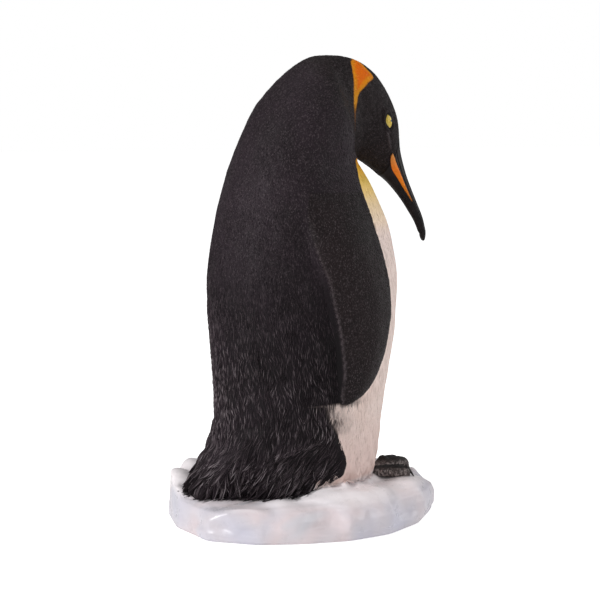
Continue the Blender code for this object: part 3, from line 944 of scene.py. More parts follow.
# A coat piece: one low ridge from each root, lying along the skin, highest halfway and narrow at both ends.
# The markings are read along each ridge or at its root, and tone runs from the grooves' up to its own
# on the crest: painted shade at each ridge's foot and a painted highlight on its crest.
def growCoat(name, roots, shape, steps, kind="thin", groove=0.0, readAlong=False, flatUnder=False):
    rows, columns = roots
    count = len(rows)
    lean, length, width, height = eachOf(shape, count, "lean", "length", "width", "height")
    bend, lift, tone = eachOf(shape, count, "bend", "lift", "tone")
    pathRows, pathColumns = tuftPaths(rows, columns, lean, length, bend, steps)
    path = sampleGrid(skin["points"], pathRows, pathColumns)
    normals = unit(sampleGrid(skin["normals"], pathRows, pathColumns))
    share = np.linspace(0, 1, steps)
    taper = (0.12 + 0.88 * np.sin(math.pi * share**0.75) ** 0.6) * (1 - 0.25 * share)
    crest = np.sin(math.pi * (0.10 + 0.85 * share)) ** 0.7
    sink = height[:, None] * (0.55 * (1 - share) ** 2 + 0.10) - lift[:, None] * share**2
    ring = tufts[kind]
    points, faces = ridgeMesh(path, normals, width[:, None] / 2 * taper, height[:, None] * crest, ring, sink)
    whole = (count, steps, len(ring))
    at = (pathRows, pathColumns) if readAlong else (rows[:, None], columns[:, None])
    fields = tuftMarks(*at, whole)
    lit = 0.3 + 0.7 * np.sin(math.pi * (0.1 + 0.7 * share))
    lit = (0.12 + 0.88 * ring[:, 1]) * lit[:, None]
    fields["tone"] = groove + (tone - groove)[:, None, None] * lit
    piece = makePiece(name, points, faces, featherPaint, (), fields)
    if flatUnder:
        smooth = np.ones(len(faces), bool)
        smooth[: count * (steps - 1) * len(ring)].reshape(-1, len(ring))[:, -1] = False
        piece.data.polygons.foreach_set("use_smooth", smooth)
    mapTufts(piece, rows, columns, ring, steps)


# What the skin measures at roots: level, degrees from the front, place, and the distance to the white.
def atRoots(roots):
    return {label: sampleGrid(skin[label], *roots) for label in ("level", "side", "places", "white")}


# Only the wanted ones among some roots.
def keepRoots(roots, wanted):
    return roots[0][wanted], roots[1][wanted]


# Which way the long feathers lie: nearly straight down the back, then sweeping back into the tail.
def layOf(level, side):
    low = smoothStep(0.24, 0.10, level)
    front = smoothStep(118, 86, side) * smoothStep(0.20, 0.12, level)
    rear = smoothStep(150, 180, side)
    fold = bell(level - foldLine(side), 0.006, 0.012) * smoothStep(86, 96, side) * smoothStep(148, 138, side)
    return np.radians((-7 + 42 * low + 12 * front + 20 * fold) * (1 - rear * 0.9))


strokes = {
    "across": 0.0031,
    "down": 0.0082,
    "length": (0.010, 0.016),  # at the top of the back and at the bottom
    "skirt": 0.032,  # and how long they grow in the skirt
    "width": (0.0015, 0.0021),
    "height": (0.0004, 0.0020),
    "levels": (0.082, 0.58),
}


# Long feathers of the lower back and the skirt, in clumps that swirl a little. They grow longer and bolder
# down the back, and stop short of the ice.
def buildStrokes():
    roots = scatterRoots(strokes["across"], strokes["down"], 11)
    at = atRoots(roots)
    lowest, top = strokes["levels"]
    wanted = (at["white"] < -0.0035) & (at["level"] < top) & (at["level"] > lowest)
    wanted &= ~onFlipper(at["level"], at["side"], 3.0) & (at["side"] > 76)
    roots = keepRoots(roots, wanted)
    at = atRoots(roots)
    level, side = at["level"], at["side"]
    count = len(level)
    rng = np.random.default_rng(12)
    spots = sampleGrid(skin["points"], *roots)
    low = smoothStep(top, 0.22, level)
    hanging = smoothStep(0.19, 0.12, level)
    swirl = 0.17 * wobble(spots * (1, 1, 0.8), 0.024, seed=13) + 0.05 * rng.normal(size=count)
    drop = np.clip(level - iceLevel(spots[:, 0], spots[:, 1]), 0.008, 1) * rng.uniform(0.85, 1.2, count)
    clump = wobble(spots * (1, 1, 0.4), 0.030, seed=14)
    ends = (strokes[label] for label in ("length", "width", "height"))
    length, width, height = (first + (last - first) * low for first, last in ends)
    length = length + (strokes["skirt"] - length) * hanging
    # a few strokes just behind the flank, under the flipper's tip, take a painted highlight
    lit = 0.5 * bell(side, 93, 7) * bell(level, 0.205, 0.035) * (rng.random(count) < 0.5)
    plain = 0.36 + 0.80 * rng.random(count) ** 1.6
    strands = 0.30 + 0.95 * rng.random(count) ** 2.4
    tone = plain * (1 - hanging) + strands * hanging + lit
    shape = {
        "lean": layOf(level, side) + swirl * (0.4 + 0.6 * low),
        "length": np.minimum(length * rng.uniform(0.75, 1.25, count), drop * 1.15),
        "width": width * rng.uniform(0.75, 1.25, count) * (1 - 0.2 * hanging),
        "height": height * rng.uniform(0.6, 1.3, count) * (1 + 0.25 * clump),
        "bend": rng.normal(0, 0.45, count) * (0.5 + 0.5 * low),
        "lift": 0.0006 * low * rng.random(count),
        # painted shade in the recess behind the flipper
        "tone": tone * (1 - 0.25 * recessShade(level, side)) * (0.55 + 0.45 * low),
    }
    onRight = roots[1] < body["columns"] / 2
    for word, part in (("right", onRight), ("left", ~onRight)):
        growCoat(f"feathers_{word}", keepRoots(roots, part), {k: v[part] for k, v in shape.items()}, 6)
        print("feathers", word, int(part.sum()))


buildStrokes()


plumage = {
    # spacing across and down, length, width, height of the short feathers on each part
    "back": (0.0040, 0.0047, 0.0056, 0.0026, 0.00030),
    "wings": (0.0038, 0.0043, 0.0050, 0.0023, 0.00026),
    "head": (0.0030, 0.0034, 0.0041, 0.0019, 0.00024),
    "front": (0.0050, 0.0110, 0.0160, 0.0042, 0.00006),
}


# Which roots each part of the short feathers grows from, by what the skin measures there.
plumageAreas = {
    "back": lambda at, wing: (at["places"] < 14.6) & (at["white"] < -0.0015) & ~wing & (at["level"] > 0.36),
    "wings": lambda at, wing: wing & (at["white"] < -0.001),
    "head": lambda at, wing: (at["places"] > 14.3) & (at["places"] < 20.85),
    "front": lambda at, wing: (at["white"] > 0.0015) & (at["level"] > 0.10) & (at["places"] < 14),
}


# Short feathers that lie flat all over, smallest on the head.
def buildPlumage():
    for number, (part, (across, down, length, width, height)) in enumerate(plumage.items()):
        roots = scatterRoots(across, down, 50 + number)
        at = atRoots(roots)
        wanted = plumageAreas[part](at, onFlipper(at["level"], at["side"], -0.5))
        if part == "head":
            spots = sampleGrid(skin["points"], *roots)
            back, up = fromEye(spots)
            wide, tall = eye["opening"]
            wanted &= (np.hypot(back / wide, up / tall) > 1.5) | (np.abs(spots[:, 0]) < 0.02)
        roots = keepRoots(roots, wanted)
        at = atRoots(roots)
        rng = np.random.default_rng(60 + number)
        count = len(roots[0])
        fade = smoothStep(0.36, 0.54, at["level"]) * 0.8 + 0.2 if part == "back" else 1.0
        lean = rng.normal(0, 0.16, count) + 0.12
        size = rng.uniform(0.7, 1.25, count)
        tall = height * rng.uniform(0.4, 1.6, count) * fade
        onFront = part == "front"
        tone = np.full(count, 0.42) if onFront else rng.uniform(0.30, 0.85, count) ** 1.3
        if part == "back":
            # painted shade in the recess behind the flipper
            tone *= 0.92 - 0.55 * recessShade(at["level"], at["side"])
        if part == "head":
            # painted highlight along the lore ridge
            tone += 0.30 * loreLine(sampleGrid(skin["points"], *roots))
        shape = {"lean": lean, "length": length * size, "width": width * size, "height": tall}
        shape.update(bend=rng.normal(0, 0.3, count), lift=tall * 0.5, tone=tone)
        steps, groove = (4, 0.33) if onFront else (3, 0.12)
        growCoat(f"plumage_{part}", roots, shape, steps, groove=groove, readAlong=True, flatUnder=onFront)
        print("plumage", part, count)


buildPlumage()


# Lifts what would sink into the ice and lets it slide outwards over it.
def restOnIce(points):
    top = iceLevel(points[..., 0], points[..., 1]) + ground["clear"]
    under = np.clip(top - points[..., 2], 0, None)
    away = points[..., :2] - np.array([0, 0.02])
    points = points.copy()
    points[..., :2] += unit(away) * (under * 0.8)[..., None]
    points[..., 2] += under
    return points


# Locks: each is a sheaf of thin ridges side by side along one curved path, spread at its root and gathered
# into a pointed tip, which stands off the skin and curls. A lock marked as white keeps one even tone.
def growLocks(name, roots, shape, strands, steps, seed, mark):
    rng = np.random.default_rng(seed)
    rows, columns = roots
    count = len(rows)
    lean, length, spread = eachOf(shape, count, "lean", "length", "spread")
    height, curl, lift = eachOf(shape, count, "height", "curl", "lift")
    pathRows, pathColumns = tuftPaths(rows, columns, lean, length, curl, steps)
    middle = sampleGrid(skin["points"], pathRows, pathColumns)
    normals = unit(sampleGrid(skin["normals"], pathRows, pathColumns))
    across = unit(np.cross(unit(np.gradient(middle, axis=1)), normals))
    share = np.linspace(0, 1, steps)
    offset = (np.linspace(-1, 1, strands) if strands > 1 else np.zeros(1))[:, None]
    gather = (1 - 0.94 * share**1.5) * (0.75 + 0.25 * np.sin(math.pi * share))
    sideways = offset * gather * spread[:, None, None] / 2
    sideways = sideways + 0.0006 * rng.normal(size=(count, strands, 1)) * np.sin(math.pi * share)
    crown = height[:, None, None] * 0.8 * (1 - offset**2) * np.sin(math.pi * (0.15 + 0.8 * share))
    up = lift[:, None, None] * share**2.2 * rng.uniform(0.75, 1.25, (count, strands, 1)) + crown
    paths = middle[:, None] + across[:, None] * sideways[..., None] + normals[:, None] * up[..., None]
    paths = restOnIce(paths.reshape(count * strands, steps, 3))
    width = ((spread / strands)[:, None] * rng.uniform(0.8, 1.25, (count, strands))).reshape(-1, 1) / 2
    width = width * (0.45 + 0.55 * np.sin(math.pi * (0.1 + 0.75 * share))) * (1 - 0.55 * share**3)
    crest = (height[:, None] * rng.uniform(0.7, 1.3, (count, strands))).reshape(-1, 1)
    crest = crest * (np.sin(math.pi * (0.08 + 0.84 * share)) ** 0.6)
    sink = crest * 0.4 * (1 - share) ** 2
    ring = tufts["lock"]
    points, faces = ridgeMesh(paths, np.repeat(normals, strands, axis=0), width, crest, ring, sink)
    whole = (count * strands, steps, len(ring))
    rows, columns, mark = (np.repeat(values, strands) for values in (rows, columns, mark))
    fields = tuftMarks(rows[:, None], columns[:, None], whole)
    fields["white"] = np.broadcast_to(mark[:, None, None], whole)
    # Tone rises along each strand to its crest: a painted highlight there and painted shade at its foot.
    lit = 0.35 + 0.65 * np.sin(math.pi * (0.05 + 0.75 * share))
    lit = (0.15 + 0.85 * np.clip(ring[:, 1], 0, 1)) * lit[:, None]
    tone = 0.14 + 1.15 * rng.random(count * strands) ** 2.3
    # A white lock keeps a tone just above the painted groove shade, so that it stays pale by the ice.
    fields["tone"] = np.where(mark[:, None, None] > 0, 0.36, tone[:, None, None] * lit)
    piece = makePiece(name, points, faces, featherPaint, (), fields)
    mapTufts(piece, rows, columns, ring, steps)


# Rows and columns of the skin at levels and degrees round it, on either side.
def rootsAt(levels, degrees, left):
    half = body["columns"] // 2
    trunkRows = int(np.searchsorted(skin["places"][:, 0], body["shoulders"]))
    rows = np.interp(levels, skin["level"][:trunkRows, half], np.arange(trunkRows))
    turns = np.degrees(skin["turns"][0][: half + 1])
    columns = np.interp(degrees, turns, np.arange(half + 1))
    return rows, np.where(left, body["columns"] - columns, columns)


locks = {
    # level, first and last degrees, how many on each side, length, spread, strands, height, lift, lean
    "skirt_low": (0.100, 98, 162, 50, 0.032, 0.0050, 4, 0.0013, 0.011, 26),
    "skirt_mid": (0.114, 92, 168, 44, 0.036, 0.0070, 6, 0.0012, 0.005, 30),
    "skirt_high": (0.132, 88, 170, 40, 0.034, 0.0080, 7, 0.0010, 0.002, 28),
    "skirt_tips": (0.098, 99, 172, 15, 0.056, 0.0090, 8, 0.0016, 0.009, 38),
    "tail_low": (0.102, 146, 180, 26, 0.044, 0.0056, 4, 0.0013, 0.007, 10),
    "fold": (0.0, 92, 142, 24, 0.022, 0.0050, 5, 0.0006, 0.000, 40),
    "front": (0.094, 4, 93, 50, 0.026, 0.0070, 4, 0.0006, 0.002, 8),
}


# Rows of locks: each spreads them evenly over its degrees on both sides, with a little shake, and lets them
# lean back by its angle, which fades out at the middle of the back.
def buildLocks():
    for number, (name, row) in enumerate(locks.items()):
        level, first, last, count, length, spread, strands, height, lift, lean = row
        rng = np.random.default_rng(80 + number)
        both = 2 * count
        degrees = np.tile(np.linspace(first, last, count), 2) + rng.normal(0, 1.2, both)
        left = np.arange(both) >= count
        levels = level + rng.normal(0, 0.004, both)
        if name == "fold":
            levels = foldLine(degrees) + 0.010 + rng.normal(0, 0.003, both)
        if name == "front":
            lean = lean + 34 * smoothStep(72, 90, degrees)
        roots = rootsAt(levels, np.clip(degrees, 0, 180), left)
        rear = smoothStep(150, 180, degrees)
        shape = {
            "lean": np.radians(lean * (1 - 0.8 * rear)) + rng.normal(0, 0.14, both),
            "length": length * rng.uniform(0.7, 1.25, both),
            "spread": spread * rng.uniform(0.7, 1.25, both),
            "height": height,
            "curl": rng.normal(0.25, 0.5, both),
        }
        if name.endswith("_low"):  # these reach down to the ice, and some run out over it
            spots = sampleGrid(skin["points"], *roots)
            drop = spots[:, 2] - iceLevel(spots[:, 0], spots[:, 1])
            stray = np.where(rng.random(both) < 0.3, 1.45, 1.0)
            shape["length"] = drop / np.cos(shape["lean"]) * rng.uniform(0.95, 1.35, both) * stray
        shape["lift"] = lift * rng.uniform(0.3, 1.6, both)
        mark = np.full(both, 0.02 if name == "front" else -0.02)
        growLocks(f"locks_{name}", roots, shape, strands, 10, 90 + number, mark)
        print("locks", name)


buildLocks()

flank = {
    "across": 0.0042,
    "down": 0.0105,
    "length": 0.016,
    "width": 0.0020,
    "height": 0.00022,
    "levels": (0.074, 0.34),
    # the dark tips
    "tipLength": 0.009,
    "tipWidth": 0.0013,
    "tipHeight": 0.0006,
    "tipLift": 0.0008,
}


# Soft white strokes over the lower front and the flanks, with dark tips scattered over them near the edge.
def buildFlank():
    roots = scatterRoots(flank["across"], flank["down"], 21)
    at = atRoots(roots)
    lowest, top = flank["levels"]
    wanted = (at["white"] > 0.0015) & (at["level"] < top) & (at["level"] > lowest) & (at["places"] < 9)
    roots = keepRoots(roots, wanted)
    at = atRoots(roots)
    level, white = at["level"], at["white"]
    rng = np.random.default_rng(22)
    count = len(level)
    spots = sampleGrid(skin["points"], *roots)
    low = smoothStep(0.32, 0.14, level)
    underWing = smoothStep(0.17, 0.20, level) * smoothStep(0.25, 0.235, level)
    size = rng.uniform(0.6, 1.3, count)
    lean = np.radians(-4 + 22 * smoothStep(0.16, 0.08, level)) + 0.14 * wobble(spots, 0.05, seed=23)
    shape = {
        "lean": lean + rng.normal(0, 0.1, count),
        "length": flank["length"] * size,
        "width": flank["width"] * size,
        "height": flank["height"] * (0.25 + 0.75 * low) * rng.uniform(0.5, 1.4, count),
        # greyer near the dark edge under the wing: grey feathering, and painted shade under the wing
        "tone": 0.42 - 0.30 * smoothStep(0.020, 0.004, white) * underWing * rng.random(count),
        "bend": rng.normal(0, 0.4, count),
        "lift": 0.0001 * low * rng.random(count),
    }
    growCoat("plumage_flank", roots, shape, 5, "stroke", groove=0.33, flatUnder=True)
    near = smoothStep(0.020, 0.0, white) * underWing
    roots = keepRoots(roots, (rng.random(count) < near * 0.4) & (at["side"] > 70))
    amount = len(roots[0])
    shape = {
        "lean": np.radians(-3) + rng.normal(0, 0.2, amount),
        "length": flank["tipLength"] * rng.uniform(0.6, 1.5, amount),
        "spread": flank["tipWidth"],
        "height": flank["tipHeight"],
        "curl": rng.normal(0, 0.5, amount),
        "lift": flank["tipLift"] * rng.random(amount),
    }
    mark = np.where(rng.random(amount) < 0.4, -0.01, 0.0001)
    growLocks("flank_tips", roots, shape, 1, 5, 25, mark)
    print("flank", count, amount)


buildFlank()


bill = {
    # ridge y, z; underside y, z; half width
    "stations": [
        (-0.1840, 0.7160, -0.1410, 0.6320, 0.0350),
        (-0.1860, 0.6990, -0.1490, 0.6250, 0.0310),
        (-0.1885, 0.6800, -0.1580, 0.6190, 0.0265),
        (-0.1945, 0.6570, -0.1700, 0.6090, 0.0215),
        (-0.2055, 0.6250, -0.1845, 0.5940, 0.0165),
        (-0.2190, 0.5950, -0.2000, 0.5755, 0.0130),
        (-0.2315, 0.5690, -0.2130, 0.5570, 0.0108),
        (-0.2430, 0.5440, -0.2270, 0.5355, 0.0088),
        (-0.2505, 0.5190, -0.2378, 0.5110, 0.0064),
    ],
    "tip": (-0.2480, 0.4990),
    "gape": 0.44,  # share of the depth above the line where it would open
    "slit": 0.02,  # share of the depth left open there
    "base": 1,  # station where the horn starts: the one before it lies on the face
    "plate": (0.22, 5.45),  # where along the bill each coloured plate starts and ends
    "plateThick": 0.0010,
    "plateDepth": 0.0012,  # how deep its back lies in the horn
    "plateTall": 0.235,  # its greatest width, as a share of the bill's depth
    "lowerEnd": (0, -0.0035, -0.0075),  # from the last ring of the lower half to its tip
    "rows": 60,
    "across": 18,
    "plateGrid": (50, 12),
    "groove": 0.0006,  # height of the ridge beside the groove along the upper half
    "hornColours": [(0.35, (20, 16, 17)), (0.70, (34, 28, 29))],
    # share of the way up each plate, between these levels; colour there
    "plateLevels": (0.55, 0.67),
    "plateColours": [
        (0.10, (88, 50, 8)),
        (0.28, (184, 104, 6)),
        (0.46, (232, 128, 4)),
        (0.72, (234, 120, 18)),
        (0.92, (204, 132, 60)),
    ],
    "plateMottle": (176, 84, 18),
}


# Points on the right flank of the bill's ovals at places along it and turns down from its ridge.
def billPoints(places, turns, grow=0.0):
    row = readStations(bill["stations"], places)
    ridge, under = row[..., 0:2], row[..., 2:4]
    half = (ridge - under) / 2
    half = half * (1 + grow / np.linalg.norm(half, axis=-1))[..., None]
    plane = (ridge + under) / 2 + np.cos(turns)[..., None] * half
    across = -(row[..., 4] + grow) * np.sin(turns)
    return np.concatenate([across[..., None], plane], axis=-1)


# Share of the depth above the gape: even, and growing by a square near the tip.
def gapeAt(places):
    return bill["gape"] + 0.38 * np.clip((places - 6.6) / 1.4, 0, None) ** 2


# Turn down from the ridge at which an oval reaches a share of its depth.
def turnAt(share):
    return np.arccos(np.clip(1 - 2 * share, -1, 1))


# Upper half: ovals from the ridge to the gape on both sides. Lower half: the same from gape to underside.
# Each closes along the gape, and its last rings shrink into a rounded tip.
def buildBillHalf(name, lower, finish):
    last = len(bill["stations"]) - (1.3 if lower else 1)
    places = np.linspace(bill["base"], last, bill["rows"])
    edge = gapeAt(places)
    low = turnAt(edge) if lower else np.zeros(bill["rows"])
    high = np.full(bill["rows"], math.pi) if lower else turnAt(edge - bill["slit"])
    turns = low[:, None] + (high - low)[:, None] * np.linspace(0, 1, bill["across"])
    right = billPoints(np.repeat(places[:, None], bill["across"], axis=1), turns)
    if not lower:
        fade = smoothStep(1.5, 2.2, places) * smoothStep(5.6, 4.2, places)
        right[..., 0] += bill["groove"] * (bell(turns, 0.95, 0.10) * fade[:, None])
    left = right[:, ::-1] * (-1, 1, 1)
    rings = np.concatenate([right, left[:, 1:] if lower else left[:, :-1]], axis=1)
    rim = rings[-1]
    middle = rim.mean(axis=0)
    end = middle + bill["lowerEnd"] if lower else np.array([0, *bill["tip"]])
    shares = np.sin(np.linspace(0.25, 1.5, 7))
    tip = [middle + (end - middle) * share + (rim - middle) * math.sqrt(1 - share**2) for share in shares]
    rings = np.concatenate([rings, tip])
    node = "bill_lower" if lower else "bill_upper"
    makePiece(name, withEnds(rings), tubeFaces(*rings.shape[:2]), finish, (node,))


# A coloured plate on the flank of the lower half: a thin cushion over the bill's ovals, as wide as the root
# of a half sine along it, so that its root is rounded and its end is drawn out to a point.
def buildPlate(side, finish):
    rows, columns = bill["plateGrid"]
    share = np.linspace(0, 1, rows)
    first, last = bill["plate"]
    grid = np.repeat((first + share * (last - first))[:, None], columns, axis=1)
    spread = bill["plateTall"] * np.sqrt(np.clip(np.sin(math.pi * (0.02 + 0.965 * share)), 0.01, 1))
    spread = spread * (1 - 0.12 * share)
    across = np.linspace(0, 1, columns)
    start = 0.60 - 0.10 * smoothStep(0.0, 0.7, share) - 0.3 * spread * (1 - smoothStep(0.0, 0.5, share))
    shares = start[:, None] + spread[:, None] * across
    crown = bill["plateThick"] * (1 - np.abs(2 * across - 1) ** 3)
    crown = crown * np.sin(math.pi * (0.04 + 0.92 * share[:, None])) ** 0.4
    outer = billPoints(grid, turnAt(shares), crown)
    inner = billPoints(grid, turnAt(shares), -bill["plateDepth"])
    rings = np.concatenate([outer, inner[:, ::-1]], axis=1)
    if side > 0:
        rings = rings[:, ::-1] * (-1, 1, 1)
    word = sideWord(side)
    faces = tubeFaces(*rings.shape[:2])
    makePiece(f"plate_{word}", withEnds(rings), faces, finish, (f"bill_plate_{word}",))


# Satin black with fine streaks along the bill and the claws.
def hornFinish():
    finish = Finish("black_horn", Specular_IOR_Level=0.12)
    colour = finish.ramp(finish.noise(70, 4), bill["hornColours"])
    rough = finish.range(finish.noise(180, 3), 0.3, 0.7, 0.32, 0.50, False)
    streaks = finish.noise(420, 3, 0.6, vector=finish.scaled(finish.place, (1, 0.4, 0.16)))
    return finish.set(Base_Color=colour, Roughness=rough, Normal=finish.bump(streaks, 0.35, 0.0008))


# Orange, mottled a little, with streaks along it.
def plateFinish():
    finish = Finish("orange_plate", Roughness=0.38, Specular_IOR_Level=0.2)
    share = finish.range(finish.axis("Z"), *bill["plateLevels"], 0.0, 1.0, False)
    mottled = finish.range(finish.noise(150, 3), 0.5, 0.75, 0.0, 0.35)
    colour = finish.blend(mottled, finish.ramp(share, bill["plateColours"]), bill["plateMottle"])
    streaks = finish.noise(380, 2, 0.6, vector=finish.scaled(finish.place, (1, 0.4, 0.2)))
    return finish.set(Base_Color=colour, Normal=finish.bump(streaks, 0.2, 0.0006))


hornPaint = hornFinish()
platePaint = plateFinish()
buildBillHalf("bill_top", False, hornPaint)
buildBillHalf("bill_bottom", True, hornPaint)
for side in (-1, 1):
    buildPlate(side, platePaint)
print("bill built")


# From ahead and up along the eye to the statue's own y and z.
def intoHead(ahead, up):
    cos, sin = math.cos(eye["lean"]), math.sin(eye["lean"])
    return eye["centre"][1] - ahead * cos - up * sin, eye["centre"][2] - ahead * sin + up * cos


# How far out the ball's face stands there.
def eyeDepth(ahead, up):
    across, long, tall = eye["half"]
    return eye["centre"][0] + across * np.sqrt(np.clip(1 - (ahead / long) ** 2 - (up / tall) ** 2, 0, 1))


# A speckled yellow iris with an oval pupil near its front corner, with painted shade where the almond of
# the lids ends.
def eyeFinish():
    looks = {"Roughness": 0.10, "Specular_IOR_Level": 0.3, "Coat_Weight": 0.25, "Coat_Roughness": 0.04}
    finish = Finish("eye_glass", **looks)
    ahead, up = finish.field("gazeAhead"), finish.field("gazeUp")
    iris = finish.ramp(finish.noise(900, 2), eye["irisColours"])
    oval = []
    for value, (middle, half) in zip((ahead, up), eye["pupil"]):
        share = finish.sums("DIVIDE", finish.sums("SUBTRACT", value, middle), half)
        oval.append(finish.sums("POWER", share, 2.0))
    pupil = finish.range(finish.sums("ADD", *oval), 1.25, 0.80)
    # painted shade at the ends of the almond, under the lids
    corner = finish.sums("POWER", finish.sums("ABSOLUTE", up), 1.8)
    almond = finish.sums("MULTIPLY_ADD", corner, 0.98, finish.sums("ABSOLUTE", ahead))
    colour = finish.blend(pupil, iris, eye["pupilColour"])
    colour = finish.blend(finish.range(almond, 0.66, 0.80), colour, eye["lidShadeColour"])
    return finish.set(Base_Color=colour)


# The ball: an ovoid in rings about the axis that looks out sideways.
def buildEye(side, finish):
    rows, columns = eye["ball"]
    turns = np.linspace(0.04, math.pi - 0.04, rows)[:, None]
    around = np.arange(columns) * fullTurn / columns
    ahead = np.sin(turns) * np.cos(around)
    up = np.sin(turns) * np.sin(around)
    out = eye["centre"][0] + eye["half"][0] * np.cos(turns) + 0 * around
    y, z = intoHead(ahead * eye["half"][1], up * eye["half"][2])
    grid = np.stack([side * out, y, z], axis=-1)
    if side < 0:
        grid, ahead, up = grid[:, ::-1], ahead[:, ::-1], up[:, ::-1]
    fields = {"gazeAhead": withEnds(ahead[..., None]), "gazeUp": withEnds(up[..., None])}
    word = sideWord(side)
    faces = tubeFaces(rows, columns)
    makePiece(f"eyeball_{word}", withEnds(grid), faces, finish, (f"eye_{word}",), fields)


# The lids: a rounded rim round an almond opening, low on the ball, thickest above.
def buildLids(side, finish):
    rows, columns = eye["rim"]
    around = (np.arange(rows) * fullTurn / rows)[:, None]
    tube = np.arange(columns) * fullTurn / columns
    wide, tall = eye["opening"]
    cosine, sine = np.cos(around), np.sin(around)
    thin, more = eye["lid"]
    radius = thin + more * np.clip(sine, 0, 1)
    spread = 1 + radius * np.cos(tube) / wide
    ahead = wide * cosine * np.abs(cosine) ** 0.38 * spread
    up = tall * sine + radius * np.cos(tube) * sine
    base = eyeDepth(wide * cosine * 0.98, tall * sine * 0.98)
    out = base + radius * np.sin(tube) * 0.9 - 0.0002
    y, z = intoHead(ahead, up)
    grid = np.stack([side * out, y, z], axis=-1)
    if side < 0:
        grid = grid[:, ::-1]
    i, j = np.meshgrid(np.arange(rows), np.arange(columns), indexing="ij")
    k, m = (i + 1) % rows, (j + 1) % columns
    faces = np.stack([i * columns + j, i * columns + m, k * columns + m, k * columns + j], axis=-1)
    makePiece(f"lids_{sideWord(side)}", grid, faces.reshape(-1, 4).tolist(), finish)


# Dark skin with a fine grain.
def lidFinish():
    finish = Finish("lid_skin", Roughness=0.45, Specular_IOR_Level=0.2)
    colour = finish.ramp(finish.noise(400, 2), eye["lidColours"])
    return finish.set(Base_Color=colour, Normal=finish.bump(finish.noise(1100, 2), 0.4, 0.0006))


eyePaint = eyeFinish()
lidPaint = lidFinish()
for side in (-1, 1):
    buildEye(side, eyePaint)
    buildLids(side, lidPaint)
print("eyes built")


foot = {
    "aside": 0.056,
    "start": -0.100,
    "toes": (0.072, 0.077, 0.074),
    "arches": (0.008, 0.009, 0.001),
    "humps": (0.0065, 0.0, 0.0),  # a knuckle on the inner toe
    "radii": (0.0125, 0.0125, 0.0100),
    "claws": (0.0145, 0.0130, 0.0165),
    "clawThick": 0.0052,
    "spread": math.radians(21),
    "turnedOut": math.radians(5),
    "instep": (0.66, 0.004),  # its length as a share of the middle toe's, and its arch
    "swelling": 0.04,  # of the joints, as a share of the radius
    "wrinkle": 0.0005,
    "pebble": 0.0001,
    "step": 0.007,  # how far the right foot stands ahead, and the left one behind
    "floor": 0.0706,
    "voxel": 0.0013,
    "toeGrid": (40, 28),
    "clawGrid": (20, 16),
    # on the toes' backs, and low on their flanks
    "skinColours": ((20, 15, 15), (62, 53, 52)),
    "strokeColours": ((84, 74, 72), (158, 147, 144)),
}


# Where a toe starts, the way it points, and the way across it. Toe 0 is the inner one, toe 2 the outer one.
def toeStart(side, toe):
    heading = side * foot["spread"] * (toe - 1) + side * foot["turnedOut"]
    direction = np.array([math.sin(heading), -math.cos(heading), 0])
    y = foot["start"] + side * foot["step"]
    start = np.array([side * foot["aside"], y, foot["floor"] + foot["radii"][toe] * 0.9])
    return start, direction, np.cross(direction, upward)


# Rounds a bar out from its middle line: across by its width, and up by its rise, but never into the ice.
def barGrid(centre, across, width, rise):
    grid = centre + across * width[..., None] + upward * rise[..., None]
    grid[..., 2] = np.maximum(grid[..., 2], foot["floor"])
    return grid


# A round bar with domed ends, flat on the ice. Its middle line rises in one smooth step to the arch, droops
# a little at the tip and has a bell of a hump halfway, and the bar swells at its joints by a cosine.
def toeGrid(start, direction, length, radius, arch, knuckles, hump):
    rows, columns = foot["toeGrid"]
    share = np.linspace(0, 1, rows)[:, None]
    around = np.arange(columns) * fullTurn / columns
    dome = np.sqrt(np.clip(1 - np.abs(2 * share - 1) ** 6, 0, 1))
    size = radius * np.maximum(dome, 0.12) * (1 + knuckles * np.cos(share * 3 * fullTurn))
    arched = arch * smoothStep(0.17, 0.65, share) * (1 - 0.30 * smoothStep(0.80, 1.0, share))
    arched = arched + hump * bell(share, 0.44, 0.08)
    centre = start + direction * length * share[..., None] + upward * arched[..., None]
    rise = np.sin(around) * np.where(np.sin(around) > 0, size, (centre[..., 2] - foot["floor"]) * 1.3)
    return barGrid(centre, np.cross(direction, upward), np.cos(around) * size, rise)


# Points of a mesh's vertices, or their normals.
def vertexNumbers(mesh, label):
    numbers = np.zeros(len(mesh.vertices) * 3, np.float32)
    mesh.vertices.foreach_get(label, numbers)
    return numbers.reshape(-1, 3).astype(float)


# Several closed grids melted into one smooth closed mesh: its points, their normals and the faces.
def meltTogether(grids):
    points, faces = [], []
    for grid in grids:
        base = len(points)
        points += withEnds(grid).tolist()
        faces += [tuple(base + corner for corner in face) for face in tubeFaces(*grid.shape[:2])]
    mesh = bpy.data.meshes.new("rough")
    mesh.from_pydata(points, [], faces)
    rough = bpy.data.objects.new("rough", mesh)
    bpy.context.scene.collection.objects.link(rough)
    melt = rough.modifiers.new("melt", "REMESH")
    melt.mode = "VOXEL"
    melt.voxel_size = foot["voxel"]
    rough.modifiers.new("ease", "SMOOTH").iterations = 4
    made = bpy.data.meshes.new_from_object(rough.evaluated_get(bpy.context.evaluated_depsgraph_get()))
    bpy.data.objects.remove(rough)
    spots, outward = vertexNumbers(made, "co"), vertexNumbers(made, "normal")
    shapes = [tuple(polygon.vertices) for polygon in made.polygons]
    bpy.data.meshes.remove(made)
    return spots, outward, shapes


